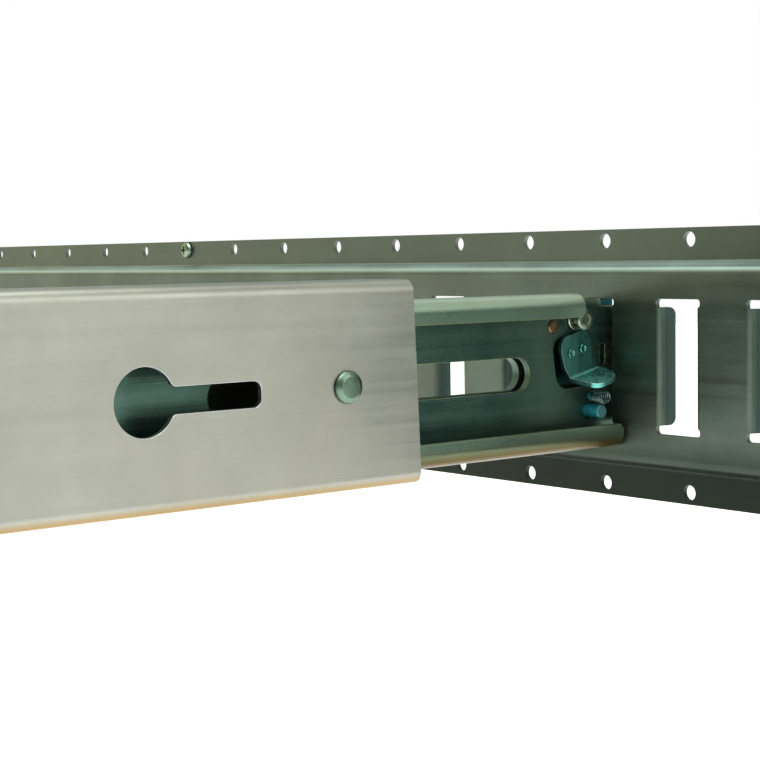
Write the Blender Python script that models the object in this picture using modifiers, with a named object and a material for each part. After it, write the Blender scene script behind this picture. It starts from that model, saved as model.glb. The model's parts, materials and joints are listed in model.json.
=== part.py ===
"""Telescoping cargo bar whose sprung head is locked into a slotted wall rail.

All lengths are in metres. +X runs along the rail, +Y into the wall and +Z up.
The origin is the centre of the slot that holds the near head, on the plane of
the rail's back. The bar runs along -Y to a second, mirrored head.
"""
import math

import bmesh
import bpy
from mathutils import Matrix, Vector

# Rail: a hat-section sheet, its flanges flat against the wall.
PITCH = 0.0508
SLOTS_LEFT = 13
SLOTS_RIGHT = 4
RAIL_HALF_HEIGHT = 0.0625
RAIL_SHEET = 0.0026
RAIL_DEPTH = 0.0106
FACE_HALF_HEIGHT = 0.044
FLANGE_INNER_Z = 0.0475
RAIL_OUTER_BEND = 0.004
RAIL_INNER_BEND = 0.0016
SLOT_HALF_HEIGHT = 0.0306
SLOT_HALF_WIDTH = 0.0127
LIP_HALF_HEIGHT = 0.0268
LIP_SHEET = 0.0020
LIP_BEND_RADIUS = 0.0027
LIP_BEND = 76.0
LIP_STRAIGHT = 0.0069
LIP_OVERLAP = 0.0015
SCREW_ROW_Z = 0.0571
SCREW_HOLE_RADIUS = 0.00355
SCREW_SLOT_INDEX = -7

# Rail screw: pan head with a cross recess.
SCREW_HEAD_RADIUS = 0.005
SCREW_HEAD_HEIGHT = 0.003
SCREW_SHANK_RADIUS = 0.0027
SCREW_LENGTH = 0.0127

# Bar tube: a rounded rectangular tube with a keyhole near each end.
TUBE_NEAR_X = 0.0235
TUBE_WIDTH = 0.034
TUBE_HALF_HEIGHT = 0.042
TUBE_WALL = 0.0025
TUBE_BEND = 0.005
TUBE_END_Y = -0.1403
TUBE_END_SLANT = 0.039
TUBE_LENGTH = 0.761
RIVET_FROM_END = 0.0367
KEYHOLE_FROM_END = 0.1301
KEYHOLE_RADIUS = 0.013
KEYHOLE_SLOT_HALF = 0.0051
KEYHOLE_SLOT_END = 0.0785
KEYHOLE_BLEND = 0.0025
KEYHOLE_END_ROUND = 0.0035

# Travel rivet: ties the tube's two walls through the head's travel slot.
TRAVEL_RIVET_RADIUS = 0.0045
TRAVEL_HEAD_RADIUS = 0.00675
TRAVEL_HEAD_HEIGHT = 0.0025

# Guide pads inside the tube's mouth.
PAD_INSET = 0.0028
PAD_LENGTH = 0.040
PAD_X = (-0.004, 0.017)
PAD_TOP_Z = (0.0341, 0.0392)
PAD_BOTTOM_Z = (-0.0392, -0.0379)

# Head channel: a lipped C, open towards +X, with a nose through the slot.
HEAD_SHEET = 0.003
WEB_X = (0.004, 0.007)
HEAD_NEAR_X = 0.0205
HEAD_TOP_Z = 0.0335
HEAD_BOTTOM_Z = -0.0375
HEAD_BEND = 0.006
LIP_DEPTH = 0.0107
WEB_OVERLAP = 0.0035
HEAD_TAIL_Y = -0.340
TOP_FLANGE_END_Y = -0.0373
BOTTOM_FLANGE_END_Y = -0.0123
SHOULDER_Z = 0.0312
SHOULDER_END_Y = -0.0132
NECK_TOP_Z = 0.0272
NECK_BOTTOM_Z = -0.0299
TOE_BOTTOM_Z = -0.0336
TOE_Y = (-0.0077, -0.0010)
TRAVEL_SLOT_Y = (-0.2325, -0.0598)
TRAVEL_SLOT_Z = -0.002
TRAVEL_SLOT_HALF = 0.0076
GUIDE_WINDOW_Y = (-0.0166, -0.0106)
GUIDE_WINDOW_Z = (0.0005, 0.0095)

# Hook plate: a second, flat plate behind the web with the same nose.
HOOK_PLATE_X = (-0.0038, 0.0002)
HOOK_PLATE_TAIL_Y = -0.255
PLATE_RIVET_Y = -0.246
PLATE_RIVET_Z = (-0.016, 0.012)

# Latch lever: swings between the two plates about the pivot rivet.
LEVER_X = (0.0006, 0.0036)
PIVOT = (-0.0446, 0.0186)
PIVOT_RADIUS = 0.0025
LEVER_TOP_Z = 0.030
NOSE_TOP_Z = 0.034
NOSE_Y = (-0.0077, -0.0036)
NOSE_ROOT_Y = -0.0016
LATCH_TRAVEL = 12.0
STUD = (-0.0308, 0.0215)
STUD_RADIUS = 0.0025
STUD_HEAD_RADIUS = 0.005
STUD_HEAD_X = (0.0128, 0.0150)

# Trigger: a bent tab on a spacer, riveted to the lever through the web's window.
FOLD_START = (-0.0392, -0.0046)
FOLD_TILT = 14.4
SPACER_X = (0.0039, 0.0075)
TAB_X = (0.0078, 0.0100)
TAB_WIDTH = 0.019
TAB_HEIGHT = 0.0178
TONGUE_LENGTH = 0.0152
TONGUE_ENDS = (0.0075, 0.0225)
TONGUE_BEND = 72.0
TONGUE_BEND_RADIUS = 0.0018
TRIGGER_RIVETS = ((0.0057, 0.0097), (0.0135, 0.0097))
TRIGGER_RIVET_RADIUS = 0.0015
TRIGGER_HEAD_RADIUS = 0.0027

# Spring, its arbor and the pin that takes its lower leg.
SPRING_PIN = (-0.0223, -0.021)
SPRING_PIN_RADIUS = 0.0033
SPRING_PIN_TIP_X = 0.016
SPRING_AXIS = (-0.0206, -0.0146)
SPRING_RADIUS = 0.0026
SPRING_WIRE = 0.0004
SPRING_X = (0.0090, 0.0172)
SPRING_TURNS = 6.25
SPRING_STEPS = 8
SPRING_LEG = 0.0084
ARBOR_RADIUS = 0.0019
ARBOR_TIP_X = 0.013

GAP = 0.0003
HOLE_STEPS = 12
BAR_CENTRE_Y = TUBE_END_Y - TUBE_LENGTH / 2
TUBE_FAR_X = TUBE_NEAR_X - TUBE_WIDTH

# Finishes: base colour, metallic, roughness.
RAIL_PAINT = ((0.10, 0.12, 0.10), 0.8, 0.42)
TUBE_ZINC = ((0.55, 0.55, 0.49), 0.9, 0.38)
HEAD_ZINC = ((0.20, 0.33, 0.27), 1.0, 0.30)
HOOK_ZINC = ((0.12, 0.22, 0.20), 1.0, 0.32)
TAB_ZINC = ((0.25, 0.38, 0.34), 1.0, 0.25)
RIVET_STEEL = ((0.42, 0.50, 0.44), 1.0, 0.28)
PIVOT_STEEL = ((0.28, 0.22, 0.15), 1.0, 0.40)
PIN_STEEL = ((0.30, 0.48, 0.52), 1.0, 0.25)
SPRING_STEEL = ((0.35, 0.37, 0.34), 1.0, 0.30)
PAD_PLASTIC = ((0.03, 0.03, 0.03), 0.0, 0.55)

PLANE_AXES = {
    "YZ": Matrix(((0, 0, 1, 0), (1, 0, 0, 0), (0, 1, 0, 0), (0, 0, 0, 1))),
    "XZ": Matrix(((1, 0, 0, 0), (0, 0, -1, 0), (0, 1, 0, 0), (0, 0, 0, 1))),
    "XY": Matrix.Identity(4),
}
PLANE_NORMAL = {"YZ": 0, "XZ": 1, "XY": 2}


# ------------------------------------------------------------ scene set-up

def clear_scene():
    for old in list(bpy.data.objects):
        bpy.data.objects.remove(old, do_unlink=True)


def new_collection(name):
    collection = bpy.data.collections.new(name)
    bpy.context.scene.collection.children.link(collection)
    return collection


def add_finish(item, finish):
    colour, metallic, roughness = finish
    material = bpy.data.materials.new(item.name)
    material.use_nodes = True
    shader = material.node_tree.nodes["Principled BSDF"]
    shader.inputs["Base Color"].default_value = (*colour, 1.0)
    shader.inputs["Metallic"].default_value = metallic
    shader.inputs["Roughness"].default_value = roughness
    item.data.materials.clear()
    item.data.materials.append(material)


def add_empty(name, location, parent=None):
    empty = bpy.data.objects.new(name, None)
    empty.empty_display_size = 0.02
    PARTS.objects.link(empty)
    empty.location = location
    if parent:
        empty.parent = parent
        empty.matrix_parent_inverse = parent.matrix_world.inverted()
    bpy.context.view_layer.update()
    return empty


def place(item, parent):
    """Parent an object and keep where it already is."""
    bpy.context.view_layer.update()
    world = item.matrix_world.copy()
    item.parent = parent
    item.matrix_world = world


# ------------------------------------------------------------ outlines

def arc(centre, radius, start, end, steps):
    """Points on an arc between two angles in degrees, both ends included."""
    points = []
    for step in range(steps + 1):
        angle = math.radians(start + (end - start) * step / steps)
        points.append((centre[0] + radius * math.cos(angle), centre[1] + radius * math.sin(angle)))
    return points


def circle(centre, radius, steps=24):
    return arc(centre, radius, 0.0, 360.0 - 360.0 / steps, steps - 1)


def round_corner(before, corner, after, radius, steps):
    """The arc that rounds one corner of a polyline."""
    corner = Vector(corner)
    towards_before = (Vector(before) - corner).normalized()
    towards_after = (Vector(after) - corner).normalized()
    half_angle = towards_before.angle(towards_after) / 2
    centre = corner + (towards_before + towards_after).normalized() * radius / math.sin(half_angle)
    tangent = radius / math.tan(half_angle)
    first = corner + towards_before * tangent - centre
    last = corner + towards_after * tangent - centre
    start = math.degrees(math.atan2(first.y, first.x))
    turn = math.degrees(math.atan2(first.x * last.y - first.y * last.x, first.dot(last)))
    return arc(centre, radius, start, start + turn, steps)


def rounded(corners, closed=True, steps=4):
    """A polyline through (a, b, radius) corners, each rounded by an arc."""
    points = []
    count = len(corners)
    for index, (a, b, radius) in enumerate(corners):
        at_end = not closed and index in (0, count - 1)
        if radius == 0.0 or at_end:
            points.append((a, b))
            continue
        before = corners[index - 1][:2]
        after = corners[(index + 1) % count][:2]
        points.extend(round_corner(before, (a, b), after, radius, steps))
    return points


def box_corners(a_range, b_range, radius):
    """Four equal rounded corners, anticlockwise."""
    (a_low, a_high), (b_low, b_high) = a_range, b_range
    return [(a_low, b_low, radius), (a_high, b_low, radius), (a_high, b_high, radius), (a_low, b_high, radius)]


def stadium(a_range, centre_b, radius):
    low, high = a_range
    right = arc((high - radius, centre_b), radius, -90, 90, 8)
    left = arc((low + radius, centre_b), radius, 90, 270, 8)
    return right + left


def arc_slot(centre, path_radius, start, end, half_width):
    """A slot of constant width that follows an arc."""
    def on_path(angle):
        turn = math.radians(angle)
        return (centre[0] + path_radius * math.cos(turn), centre[1] + path_radius * math.sin(turn))
    outer = arc(centre, path_radius + half_width, start, end, 3)
    end_cap = arc(on_path(end), half_width, end, end + 180, 6)[1:-1]
    inner = arc(centre, path_radius - half_width, end, start, 3)
    start_cap = arc(on_path(start), half_width, start + 180, start + 360, 6)[1:-1]
    return outer + end_cap + inner + start_cap


def keyhole(centre_y, mouth):
    """Round hole with a narrower slot that runs towards the tube's mouth (+1 or -1)."""
    blend_z = KEYHOLE_SLOT_HALF + KEYHOLE_BLEND
    blend_y = math.sqrt((KEYHOLE_RADIUS + KEYHOLE_BLEND) ** 2 - blend_z ** 2)
    meet = math.degrees(math.atan2(blend_z, blend_y))
    reach = KEYHOLE_FROM_END - KEYHOLE_SLOT_END
    upper = arc((0, 0), KEYHOLE_RADIUS, 180, meet, 12)
    upper += arc((blend_y, blend_z), KEYHOLE_BLEND, 180 + meet, 270, 3)[1:]
    corner = (reach - KEYHOLE_END_ROUND, KEYHOLE_SLOT_HALF - KEYHOLE_END_ROUND)
    upper += arc(corner, KEYHOLE_END_ROUND, 90, 0, 4)
    lower = [(y, -z) for y, z in reversed(upper[1:])]
    return [(centre_y + mouth * y, z) for y, z in upper + lower]


# ------------------------------------------------------------ solids

def curve_to_mesh(curve, collection):
    """A mesh object in a curve's place, its caps welded to its sides."""
    bpy.context.view_layer.update()
    depsgraph = bpy.context.evaluated_depsgraph_get()
    mesh = bpy.data.meshes.new_from_object(curve.evaluated_get(depsgraph))
    name = curve.name
    world = curve.matrix_world.copy()
    bpy.data.objects.remove(curve, do_unlink=True)
    shape = bmesh.new()
    shape.from_mesh(mesh)
    bmesh.ops.remove_doubles(shape, verts=shape.verts, dist=1e-6)
    bmesh.ops.recalc_face_normals(shape, faces=shape.faces)
    shape.to_mesh(mesh)
    shape.free()
    item = bpy.data.objects.new(name, mesh)
    item.matrix_world = world
    collection.objects.link(item)
    return item


def prism(name, plane, outlines, span, collection):
    """Flat outlines in one plane, holes among them, given their thickness."""
    data = bpy.data.curves.new(name, "CURVE")
    data.dimensions = "2D"
    data.fill_mode = "BOTH"
    data.extrude = (span[1] - span[0]) / 2
    for outline in outlines:
        spline = data.splines.new("POLY")
        spline.points.add(len(outline) - 1)
        for point, (a, b) in zip(spline.points, outline):
            point.co = (a, b, 0.0, 1.0)
        spline.use_cyclic_u = True
    curve = bpy.data.objects.new(name, data)
    collection.objects.link(curve)
    curve.matrix_world = PLANE_AXES[plane]
    curve.location[PLANE_NORMAL[plane]] = (span[0] + span[1]) / 2
    return curve_to_mesh(curve, collection)


def sheet(name, plane, path, span, thickness, collection, closed=False):
    """A sheet bent along a path and run straight along the plane's normal.

    The path is the sheet's outer side, and the metal lies to the path's left.
    """
    shape = bmesh.new()
    points = [shape.verts.new((a, b, span[0])) for a, b in path]
    pairs = list(zip(points, points[1:]))
    if closed:
        pairs.append((points[-1], points[0]))
    edges = [shape.edges.new(pair) for pair in pairs]
    swept = bmesh.ops.extrude_edge_only(shape, edges=edges)["geom"]
    moved = [element for element in swept if isinstance(element, bmesh.types.BMVert)]
    bmesh.ops.translate(shape, verts=moved, vec=(0, 0, span[1] - span[0]))
    for face in shape.faces:
        face.normal_update()
    first = next(face for face in shape.faces if points[0] in face.verts and points[1] in face.verts)
    along = points[1].co - points[0].co
    metal_side = Vector((-along.y, along.x, 0))
    if first.normal.dot(metal_side) > 0:
        bmesh.ops.reverse_faces(shape, faces=shape.faces)
    mesh = bpy.data.meshes.new(name)
    shape.to_mesh(mesh)
    shape.free()
    item = bpy.data.objects.new(name, mesh)
    item.matrix_world = PLANE_AXES[plane]
    collection.objects.link(item)
    solidify = item.modifiers.new("Sheet", "SOLIDIFY")
    solidify.thickness = thickness
    solidify.offset = -1.0
    solidify.use_even_offset = True
    return item


def turned(name, profile, base, collection, steps=16):
    """A piece turned about X. The profile gives (radius, x) from its +X tip to its -X end."""
    mesh = bpy.data.meshes.new(name)
    shape = bmesh.new()
    points = [shape.verts.new((radius, 0.0, x)) for radius, x in profile]
    for pair in zip(points, points[1:]):
        shape.edges.new(pair)
    shape.to_mesh(mesh)
    shape.free()
    item = bpy.data.objects.new(name, mesh)
    item.location = base
    item.rotation_euler = (0.0, math.pi / 2, 0.0)
    collection.objects.link(item)
    screw = item.modifiers.new("Turn", "SCREW")
    screw.axis = "Z"
    screw.steps = steps
    screw.render_steps = steps
    screw.use_merge_vertices = True
    screw.merge_threshold = 1e-5
    screw.use_smooth_shade = True
    return item


def cutter_of(item):
    item.display_type = "WIRE"
    item.hide_render = True
    return item


def combine(item, other, operation):
    boolean = item.modifiers.new(operation.title(), "BOOLEAN")
    boolean.operation = operation
    boolean.object = cutter_of(other)
    boolean.solver = "EXACT"


def bake(item):
    """Apply an object's modifiers, so that its mesh is the finished solid."""
    bpy.context.view_layer.update()
    depsgraph = bpy.context.evaluated_depsgraph_get()
    mesh = bpy.data.meshes.new_from_object(item.evaluated_get(depsgraph))
    item.modifiers.clear()
    item.data = mesh
    return item


def smooth(item, angle=35.0):
    for polygon in item.data.polygons:
        polygon.use_smooth = True
    item.data.set_sharp_from_angle(angle=math.radians(angle))


# ------------------------------------------------------------ rail and screw

def slot_centres():
    return [PITCH * index for index in range(-SLOTS_LEFT, SLOTS_RIGHT + 1)]


def lip_path(offset):
    """A slot edge bent back, at a depth in its sheet: bend first, then the straight end."""
    turn = math.radians(LIP_BEND)
    path = arc((0, LIP_BEND_RADIUS - RAIL_DEPTH), LIP_BEND_RADIUS - offset, 270, 270 - LIP_BEND, 3)
    x, y = path[-1]
    path.append((x - LIP_STRAIGHT * math.cos(turn), y + LIP_STRAIGHT * math.sin(turn)))
    return path


def lip_outline(edge_x, side):
    """One slot edge bent back from the face: front skin, then back skin."""
    points = [(LIP_OVERLAP, -RAIL_DEPTH)] + lip_path(0.0) + lip_path(LIP_SHEET)[::-1]
    points.append((LIP_OVERLAP, LIP_SHEET - RAIL_DEPTH))
    return [(edge_x + side * x, y) for x, y in points]


def build_rail():
    path = rounded([
        (-RAIL_SHEET, -RAIL_HALF_HEIGHT, 0.0),
        (-RAIL_SHEET, -FLANGE_INNER_Z, RAIL_INNER_BEND),
        (-RAIL_DEPTH, -FACE_HALF_HEIGHT, RAIL_OUTER_BEND),
        (-RAIL_DEPTH, FACE_HALF_HEIGHT, RAIL_OUTER_BEND),
        (-RAIL_SHEET, FLANGE_INNER_Z, RAIL_INNER_BEND),
        (-RAIL_SHEET, RAIL_HALF_HEIGHT, 0.0),
    ], closed=False, steps=3)
    path.reverse()
    span = (-(SLOTS_LEFT + 0.5) * PITCH, (SLOTS_RIGHT + 0.5) * PITCH)
    rail = sheet("slotted_rail", "YZ", path, span, RAIL_SHEET, PARTS)

    windows, holes, lips = [], [], []
    for x in slot_centres():
        half = SLOT_HALF_WIDTH
        corners = box_corners((x - half, x + half), (-SLOT_HALF_HEIGHT, SLOT_HALF_HEIGHT), 0.0)
        windows.append(rounded(corners))
        holes.append(circle((x, SCREW_ROW_Z), SCREW_HOLE_RADIUS, 10))
        holes.append(circle((x, -SCREW_ROW_Z), SCREW_HOLE_RADIUS, 10))
        lips.append(lip_outline(x + half, 1))
        lips.append(lip_outline(x - half, -1))
    through = (-2 * RAIL_DEPTH, RAIL_DEPTH)
    combine(rail, prism("slot_cutter", "XZ", windows, through, CUTTERS), "DIFFERENCE")
    combine(rail, prism("screw_hole_cutter", "XZ", holes, through, CUTTERS), "DIFFERENCE")
    lip_span = (-LIP_HALF_HEIGHT, LIP_HALF_HEIGHT)
    combine(rail, prism("slot_lips", "XY", lips, lip_span, CUTTERS), "UNION")
    add_finish(rail, RAIL_PAINT)


def build_screw():
    top = SCREW_HEAD_HEIGHT
    profile = [
        (0.0, top),
        (SCREW_HEAD_RADIUS * 0.55, top * 0.94),
        (SCREW_HEAD_RADIUS * 0.88, top * 0.68),
        (SCREW_HEAD_RADIUS, top * 0.3),
        (SCREW_HEAD_RADIUS, 0.0),
        (SCREW_SHANK_RADIUS, 0.0),
        (SCREW_SHANK_RADIUS, -SCREW_LENGTH * 0.8),
        (0.0, -SCREW_LENGTH),
    ]
    x = SCREW_SLOT_INDEX * PITCH
    head_y = -RAIL_SHEET - GAP
    screw = turned("rail_screw", profile, (x, head_y, SCREW_ROW_Z), PARTS)
    screw.rotation_euler = (math.pi / 2, 0.0, 0.0)
    arm, reach = 0.0006, 0.0026
    recess_span = (head_y - 2 * top, head_y - top * 0.45)
    for name, half_x, half_z in (("recess_across", reach, arm), ("recess_upright", arm, reach)):
        corners = box_corners((x - half_x, x + half_x), (SCREW_ROW_Z - half_z, SCREW_ROW_Z + half_z), 0.0)
        combine(screw, prism(name, "XZ", [rounded(corners)], recess_span, CUTTERS), "DIFFERENCE")
    add_finish(screw, RIVET_STEEL)


# ------------------------------------------------------------ bar

def from_far_end(y):
    """The mirror image of a place along the bar."""
    return 2 * BAR_CENTRE_Y - y


def slant_ends(tube):
    """Lean the cut at each end of the tube, so that its bottom edge reaches further."""
    for vertex in tube.data.vertices:
        side = 1 if vertex.co.z < -BAR_CENTRE_Y else -1
        vertex.co.z += side * TUBE_END_SLANT * vertex.co.y


def build_bar():
    slide = add_empty("bar_slide", (0.0, TUBE_END_Y, 0.0))
    corners = box_corners((TUBE_FAR_X, TUBE_NEAR_X), (-TUBE_HALF_HEIGHT, TUBE_HALF_HEIGHT), TUBE_BEND)
    far_end_y = TUBE_END_Y - TUBE_LENGTH
    path = rounded(corners, steps=5)
    tube = sheet("bar_tube", "XZ", path, (-TUBE_END_Y, -far_end_y), TUBE_WALL, PARTS, closed=True)
    slant_ends(tube)

    wall_span = (TUBE_NEAR_X - 2 * TUBE_WALL, TUBE_NEAR_X + TUBE_WALL)
    keyhole_y = TUBE_END_Y - KEYHOLE_FROM_END
    rivet_y = TUBE_END_Y - RIVET_FROM_END
    keyholes = [keyhole(keyhole_y, 1), keyhole(from_far_end(keyhole_y), -1)]
    combine(tube, prism("keyhole_cutter", "YZ", keyholes, wall_span, CUTTERS), "DIFFERENCE")
    rivet_holes = []
    for y in (rivet_y, from_far_end(rivet_y)):
        rivet_holes.append(circle((y, 0.0), TRAVEL_RIVET_RADIUS + GAP, 20))
    through = (TUBE_FAR_X - TUBE_WALL, TUBE_NEAR_X + TUBE_WALL)
    combine(tube, prism("rivet_hole_cutter", "YZ", rivet_holes, through, CUTTERS), "DIFFERENCE")
    add_finish(tube, TUBE_ZINC)
    place(tube, slide)

    near_top = TUBE_NEAR_X + GAP + TRAVEL_HEAD_HEIGHT
    head = [(0.0, 0.0), (0.68, 0.0), (0.90, 0.30), (1.0, 0.75), (1.0, 1.0)]
    near_head = [(TRAVEL_HEAD_RADIUS * r, near_top - TRAVEL_HEAD_HEIGHT * h) for r, h in head]
    far_head = [(r, TUBE_FAR_X + TUBE_NEAR_X - x) for r, x in reversed(near_head)]
    profile = near_head + [(TRAVEL_RIVET_RADIUS, near_top - TRAVEL_HEAD_HEIGHT)]
    profile += [(TRAVEL_RIVET_RADIUS, TUBE_FAR_X - GAP)] + far_head
    for end, y in (("near", rivet_y), ("far", from_far_end(rivet_y))):
        rivet = turned("travel_rivet_" + end, profile, (0.0, y, 0.0), PARTS)
        add_finish(rivet, RIVET_STEEL)
        place(rivet, slide)

    pad_y = (TUBE_END_Y - PAD_INSET - PAD_LENGTH, TUBE_END_Y - PAD_INSET)
    far_pad_y = (from_far_end(pad_y[1]), from_far_end(pad_y[0]))
    for end, y_span in (("near", pad_y), ("far", far_pad_y)):
        for level, z_span in (("top", PAD_TOP_Z), ("bottom", PAD_BOTTOM_Z)):
            outline = rounded(box_corners(PAD_X, y_span, 0.002), steps=2)
            pad = prism("guide_pad_" + level + "_" + end, "XY", [outline], z_span, PARTS)
            add_finish(pad, PAD_PLASTIC)
            place(pad, slide)


# ------------------------------------------------------------ head

def nose_corners():
    """The neck through the slot and the toe that hooks behind its lower edge."""
    return [
        (TOE_Y[0], NECK_BOTTOM_Z, 0.0),
        (TOE_Y[0], TOE_BOTTOM_Z, 0.0006),
        (TOE_Y[1], TOE_BOTTOM_Z, 0.0012),
        (TOE_Y[1], NECK_TOP_Z, 0.0016),
    ]


def plate_holes():
    """Fixings that pass through the web and the hook plate alike."""
    holes = [
        stadium(TRAVEL_SLOT_Y, TRAVEL_SLOT_Z, TRAVEL_SLOT_HALF),
        circle(PIVOT, PIVOT_RADIUS + GAP, HOLE_STEPS),
        circle(STUD, STUD_RADIUS + GAP, HOLE_STEPS),
        circle(SPRING_PIN, SPRING_PIN_RADIUS + GAP, HOLE_STEPS),
    ]
    for z in PLATE_RIVET_Z:
        holes.append(circle((PLATE_RIVET_Y, z), PIVOT_RADIUS + GAP, HOLE_STEPS))
    return holes


def head_channel(name):
    flat_top = HEAD_TOP_Z - HEAD_BEND
    flat_bottom = HEAD_BOTTOM_Z + HEAD_BEND
    outline = rounded([
        (HEAD_TAIL_Y, flat_bottom, 0.0),
        (BOTTOM_FLANGE_END_Y, flat_bottom, 0.0),
        (BOTTOM_FLANGE_END_Y, NECK_BOTTOM_Z, 0.0),
        *nose_corners(),
        (SHOULDER_END_Y, NECK_TOP_Z, 0.0008),
        (SHOULDER_END_Y, SHOULDER_Z, 0.0015),
        (TOP_FLANGE_END_Y + GAP, SHOULDER_Z, 0.0010),
        (TOP_FLANGE_END_Y + GAP, flat_top, 0.0),
        (HEAD_TAIL_Y, flat_top, 0.0),
    ])
    trigger_window = rounded([
        (-0.0420, -0.0105, 0.007),
        (-0.0196, -0.0090, 0.006),
        (-0.0208, 0.0152, 0.004),
        (-0.0456, 0.0135, 0.007),
    ])
    guide_window = rounded(box_corners(GUIDE_WINDOW_Y, GUIDE_WINDOW_Z, 0.0008), steps=2)
    arbor_hole = circle(SPRING_AXIS, ARBOR_RADIUS + GAP, HOLE_STEPS)
    outlines = [outline, trigger_window, guide_window, arbor_hole] + plate_holes()
    channel = prism(name, "YZ", outlines, WEB_X, PARTS)

    flanges = (
        ("top_flange", HEAD_TOP_Z, flat_top - WEB_OVERLAP, HEAD_TOP_Z - LIP_DEPTH, TOP_FLANGE_END_Y),
        ("bottom_flange", HEAD_BOTTOM_Z, flat_bottom + WEB_OVERLAP, HEAD_BOTTOM_Z + LIP_DEPTH,
         BOTTOM_FLANGE_END_Y),
    )
    for label, outer_z, start_z, lip_z, end_y in flanges:
        path = rounded([
            (WEB_X[0], start_z, 0.0),
            (WEB_X[0], outer_z, HEAD_BEND),
            (HEAD_NEAR_X, outer_z, HEAD_BEND),
            (HEAD_NEAR_X, lip_z, 0.0),
        ], closed=False, steps=5)
        if outer_z > 0:
            path.reverse()
        flange = sheet(label, "XZ", path, (-end_y, -HEAD_TAIL_Y), HEAD_SHEET, CUTTERS)
        combine(channel, flange, "UNION")
    return bake(channel)


def hook_plate(name):
    outline = rounded([
        (HOOK_PLATE_TAIL_Y, NECK_BOTTOM_Z, 0.008),
        *nose_corners(),
        (HOOK_PLATE_TAIL_Y, NECK_TOP_Z, 0.008),
    ])
    return prism(name, "YZ", [outline] + plate_holes(), HOOK_PLATE_X, PARTS)


def on_tab(u, v):
    """A place on the trigger, u along its fold and v up from it, as (y, z)."""
    tilt = math.radians(FOLD_TILT)
    y = FOLD_START[0] + u * math.cos(tilt) - v * math.sin(tilt)
    z = FOLD_START[1] + u * math.sin(tilt) + v * math.cos(tilt)
    return (y, z)


def rivet_holes():
    return [circle(on_tab(u, v), TRIGGER_RIVET_RADIUS + GAP, HOLE_STEPS) for u, v in TRIGGER_RIVETS]


def latch_lever(name):
    outline = rounded([
        (-0.0526, 0.0095, 0.006),
        (-0.0390, -0.0085, 0.006),
        (-0.0195, -0.0085, 0.004),
        (-0.0130, 0.0100, 0.004),
        (NOSE_ROOT_Y, 0.0170, 0.002),
        (NOSE_ROOT_Y, LEVER_TOP_Z, 0.0005),
        (NOSE_Y[1], NOSE_TOP_Z, 0.0012),
        (NOSE_Y[0], NOSE_TOP_Z, 0.0008),
        (NOSE_Y[0], LEVER_TOP_Z, 0.0),
        (-0.0526, LEVER_TOP_Z, 0.008),
    ])
    reach = (Vector(STUD) - Vector(PIVOT)).length
    at_rest = math.degrees(math.atan2(STUD[1] - PIVOT[1], STUD[0] - PIVOT[0]))
    stop_slot = arc_slot(PIVOT, reach, at_rest - 0.5, at_rest + LATCH_TRAVEL + 0.5, STUD_RADIUS + GAP)
    pivot_hole = circle(PIVOT, PIVOT_RADIUS + GAP, HOLE_STEPS)
    return prism(name, "YZ", [outline, stop_slot, pivot_hole] + rivet_holes(), LEVER_X, PARTS)


def trigger_spacer(name):
    corners = box_corners((0.003, 0.018), (0.003, 0.0135), 0.003)
    outline = [on_tab(u, v) for u, v in rounded(corners)]
    return prism(name, "YZ", [outline] + rivet_holes(), SPACER_X, PARTS)


def trigger_tab(name):
    """A flat blank, then its tongue bent out along the fold line."""
    rear, front = TONGUE_ENDS
    blank = rounded([
        (rear, -TONGUE_LENGTH, 0.0060),
        (front, -TONGUE_LENGTH, 0.0065),
        (front, -0.0045, 0.0040),
        (TAB_WIDTH, 0.0005, 0.0020),
        (TAB_WIDTH, TAB_HEIGHT, 0.005),
        (0.0, TAB_HEIGHT, 0.0055),
        (0.0, 0.0045, 0.0100),
    ])
    holes = [circle(spot, TRIGGER_RIVET_RADIUS + GAP, HOLE_STEPS) for spot in TRIGGER_RIVETS]
    tab = prism(name, "XY", [blank] + holes, TAB_X, PARTS)
    turn = math.radians(TONGUE_BEND)
    middle = (TAB_X[0] + TAB_X[1]) / 2
    centre_x = TAB_X[1] + TONGUE_BEND_RADIUS
    bend_length = turn * (centre_x - middle)

    shape = bmesh.new()
    shape.from_mesh(tab.data)
    for step in range(5):
        geometry = shape.verts[:] + shape.edges[:] + shape.faces[:]
        level = -bend_length * step / 4
        bmesh.ops.bisect_plane(shape, geom=geometry, plane_co=(0, level, 0), plane_no=(0, 1, 0), dist=1e-6)
    for vertex in shape.verts:
        u, v, x = vertex.co.x, vertex.co.y, vertex.co.z + middle
        if v < 0.0:
            part_turn = min(-v / bend_length, 1.0) * turn
            rest = max(-v - bend_length, 0.0)
            radius = centre_x - x
            x = centre_x - radius * math.cos(part_turn) + rest * math.sin(part_turn)
            v = -radius * math.sin(part_turn) - rest * math.cos(part_turn)
        vertex.co = (x, *on_tab(u, v))
    shape.to_mesh(tab.data)
    shape.free()
    tab.matrix_world = Matrix.Identity(4)
    return tab


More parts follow.
